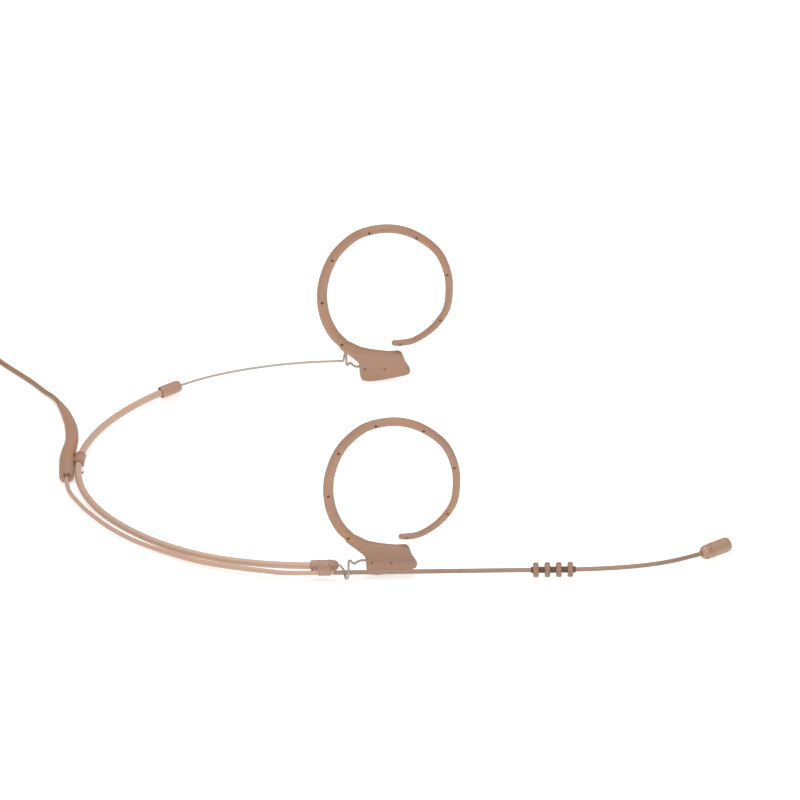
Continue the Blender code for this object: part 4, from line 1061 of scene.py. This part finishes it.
def woven(name, colour, thread):
    """A woven strap: warp and weft over and under, with fuzz and painted shade in the hollows between
    threads. thread is threads per metre.
    """
    nodes = Nodes(name)
    mapping = nodes.add("ShaderNodeMapping", {"Rotation": (0.0, 0.0, math.radians(-COIL_SHIFT))})
    nodes.join(nodes.coords, mapping.inputs["Vector"])
    waves = []
    for direction in ("X", "Y", "Z"):
        looks = {"Scale": thread / 20, "Distortion": 0.4}
        wave = nodes.add("ShaderNodeTexWave", looks, bands_direction=direction)
        nodes.join(mapping.outputs["Vector"], wave.inputs["Vector"])
        waves.append(wave.outputs["Fac"])
    height = nodes.math("MULTIPLY", nodes.math("MAXIMUM", waves[0], waves[2]), waves[1])
    fuzz = nodes.noise(3800.0, 5.0)
    height = nodes.math("ADD", height, nodes.math("MULTIPLY", fuzz, 0.5))
    # Painted shade: the threads darken towards the weave's hollows, where shade would fall.
    body = nodes.mixed(tinted(colour, 0.45, 0.45, 0.45), colour, nodes.ranged(height, 0.0, 1.0, 0.2, 0.9))
    body = nodes.mixed(body, tinted(colour, 2.4, 2.4, 2.5), nodes.ranged(fuzz, 0.0, 0.5, 0.62, 0.75))
    rough = nodes.ranged(height, 0.95, 0.75)
    return nodes.finish(body, rough, nodes.bumped(height, 0.09 * MM, 0.9), Sheen_Weight=0.4)


def traced(name, colour, copper):
    """A circuit board's lacquer over its copper traces."""
    nodes = Nodes(name)
    brick = nodes.add("ShaderNodeTexBrick", {"Scale": 900.0, "Mortar Size": 0.03})
    nodes.join(nodes.coords, brick.inputs["Vector"])
    weave = nodes.noise(4000.0, 2.0)
    body = nodes.mixed(colour, copper, nodes.ranged(brick.outputs["Fac"], 0.0, 0.45, 0.2, 0.8))
    body = nodes.mixed(body, tinted(colour, 1.6, 1.5, 1.4), nodes.ranged(weave, 0.0, 0.4))
    rough = nodes.ranged(weave, 0.3, 0.45)
    return nodes.finish(body, rough, nodes.bumped(brick.outputs["Fac"], 0.03 * MM, 0.5), Coat_Weight=0.3)


BLACK = (0.018, 0.018, 0.019)
STEEL = (0.62, 0.61, 0.60)
BRASS = (0.72, 0.55, 0.27)

# Colour, roughness, grain, patches per metre, tint, dust, coat and softness of each moulded material.
MOULDED = {
    "neckband_plastic": ((0.575, 0.393, 0.288), 0.38, 0.007, 60.0, 0.06, 0.12, 0.15),
    "sheath_rubber": ((0.56, 0.365, 0.274), 0.42, 0.008, 70.0, 0.06, 0.12, 0.1),
    "sleeve_plastic": ((0.45, 0.265, 0.188), 0.45, 0.014, 120.0, 0.05, 0.2),
    "bush_nylon": ((0.72, 0.68, 0.60), 0.5, 0.01, 200.0, 0.03, 0.1, 0.0, 0.1),
    "boot_rubber": ((0.43, 0.25, 0.168), 0.5, 0.016, 80.0, 0.07, 0.2),
    "hook_elastomer": ((0.40, 0.235, 0.151), 0.48, 0.014, 55.0, 0.08, 0.2, 0.0, 0.05),
    "hook_wire_coat": ((0.47, 0.38, 0.31), 0.35, 0.006, 110.0, 0.05, 0.15, 0.2),
    "boom_rubber": ((0.325, 0.200, 0.134), 0.32, 0.006, 75.0, 0.09, 0.12, 0.35),
    "shield_core_rubber": ((0.13, 0.085, 0.036), 0.5, 0.016, 160.0, 0.1, 0.2),
    "shield_rubber": ((0.34, 0.195, 0.132), 0.46, 0.014, 150.0, 0.08, 0.25),
    "capsule_plastic": ((0.44, 0.272, 0.182), 0.36, 0.009, 110.0, 0.07, 0.15, 0.15),
    "gasket_rubber": (BLACK, 0.6, 0.02, 150.0, 0.2, 0.3),
    "chip": (BLACK, 0.45, 0.02, 300.0, 0.2, 0.3),
    "cord_jacket": ((0.352, 0.220, 0.146), 0.5, 0.014, 45.0, 0.07, 0.22),
    "connector_plastic": ((0.03, 0.03, 0.031), 0.45, 0.016, 200.0, 0.15, 0.3),
    "relief_rubber": ((0.026, 0.026, 0.027), 0.58, 0.02, 120.0, 0.15, 0.35),
}
# Colour, roughness, the way it is drawn, wear and scratch depth of each bare metal.
METALS = {
    "crimp_brass": (BRASS, 0.28, (1.0, 0.1, 1.0)),
    "signal_copper": ((0.78, 0.42, 0.27), 0.3, (0.1, 1.0, 1.0)),
    "spring_steel": (STEEL, 0.25, (1.0, 1.0, 0.08), 0.3),
    "steel_tube": (STEEL, 0.22, (0.06, 1.0, 1.0), 0.25),
    "grid_steel": (STEEL, 0.35, (1.0, 1.0, 0.3), 0.4),
    "element_metal": (STEEL, 0.25, (1.0, 1.0, 0.1), 0.35),
    "element_foil": (BRASS, 0.15, (0.4, 1.0, 1.0), 0.2, 0.008),
    "contact_gold": ((0.92, 0.68, 0.28), 0.22, (1.0, 0.15, 1.0), 0.15),
    "latch_metal": (STEEL, 0.3, (1.0, 0.1, 1.0), 0.4),
}
MATERIALS = {name: moulded(name, *look) for name, look in MOULDED.items()}
MATERIALS |= {name: metal(name, *look) for name, look in METALS.items()}
MATERIALS["board"] = traced("board", (0.02, 0.14, 0.05), (0.5, 0.35, 0.12))
MATERIALS["tie_fabric"] = woven("tie_fabric", (0.035, 0.034, 0.034), 2200.0)
MATERIALS["connector_metal"] = painted_metal(
    "connector_metal", (0.022, 0.022, 0.024), (0.42, 0.41, 0.40), 0.38
)
# Painted shade: a near-black finish for the pin holes' walls and floors, standing in for the dark inside a
# deep hole.
PIN_HOLE_SHADE = moulded("pin_hole_painted_shade", (0.012, 0.007, 0.005), 0.7, 0.02, 200.0, 0.2, 0.1)

# ---------------------------------------------------------------- assembly

SLOTS = {row["node"]: row["material_slot"] for row in frame["record"]["subparts"]}


def install(node, piece, *others):
    """Puts a finished piece in a CAD node's place, and any others', on its body and in its material."""
    piece.name = f"{node}_look"
    slot = SLOTS[node]
    piece.data.materials.clear()
    piece.data.materials.append(MATERIALS[slot])
    # The hooks' second material is the pin holes' painted shade.
    if slot == "hook_elastomer":
        piece.data.materials.append(PIN_HOLE_SHADE)
    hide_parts(node, *others)
    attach(piece, frame["nodes"][node]["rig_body"])


def build_object():
    route = cord_route()
    cord = swept("cord", route, CORD_R, 16)
    install("cord_coil", cord, "cord_run", "cord_tail")
    cord.name = "cord"
    connector = build_connector()
    sets = [connector, build_tie(), build_neckband()]
    sets += [build_far_sleeve(), build_near_sleeve(), build_sheath(), build_boot(), build_band_clip()]
    far_inside = [*neck_route(49.0, 75.0, FAR), *neck_route(77.0, 90.0, FAR)]
    near_inside = neck_route(77.0, 91.2, NEAR)
    hooks = (("far", far_inside, 0.0, FAR), ("near", near_inside, NEAR_HOOK_SHIFT, NEAR))
    for name, inside, shift, side in hooks:
        sets += [build_hook_wire(name, inside, shift, side), build_hook(name, shift, side)]
    sets += [build_tail(), build_boom(), build_shield(), build_capsule()]
    for pieces in sets:
        for node, piece in pieces.items():
            install(node, piece)


# ---------------------------------------------------------------- floor and light


def build_floor():
    """White paper, lit a little from within so that it runs out to white."""
    work = bmesh.new()
    bmesh.ops.create_grid(work, x_segments=1, y_segments=1, size=8.0)
    floor = finished("floor", work)
    nodes = Nodes("floor_paper")
    body = nodes.mixed((0.86, 0.86, 0.86), (0.88, 0.88, 0.88), nodes.noise(30.0, 3.0))
    rough = nodes.ranged(nodes.noise(80.0, 3.0), 0.85, 0.95)
    nodes.finish(body, rough, nodes.bumped(nodes.noise(500.0, 3.0), 0.02 * MM))
    nodes.shader.inputs["Emission Color"].default_value = (1.0, 1.0, 1.0, 1.0)
    nodes.shader.inputs["Emission Strength"].default_value = 0.45
    nodes.shader.inputs["Specular IOR Level"].default_value = 0.0
    floor.data.materials.append(nodes.made)


def add_light(name, place, size, power):
    """A softbox aimed at the frame's origin."""
    data = bpy.data.lights.new(name, "AREA")
    data.shape = "RECTANGLE"
    data.size, data.size_y = size
    data.energy = power
    light = bpy.data.objects.new(name, data)
    light.location = place
    light.rotation_mode = "QUATERNION"
    light.rotation_quaternion = (-Vector(place)).to_track_quat("-Z", "Y")
    bpy.context.scene.collection.objects.link(light)


def build_light():
    world = bpy.data.worlds.new("studio")
    bpy.context.scene.world = world
    world.use_nodes = True
    sky = world.node_tree.nodes["Background"].inputs
    sky["Color"].default_value = (1.0, 1.0, 1.0, 1.0)
    sky["Strength"].default_value = 0.36
    add_light("top_softbox", (-0.15, 0.25, 1.1), (0.9, 0.55), 6.0)
    add_light("front_softbox", (0.1, -0.75, 0.75), (0.8, 0.5), 4.6)
    bpy.context.scene.view_settings.view_transform = "Standard"


build_object()
build_floor()
build_light()
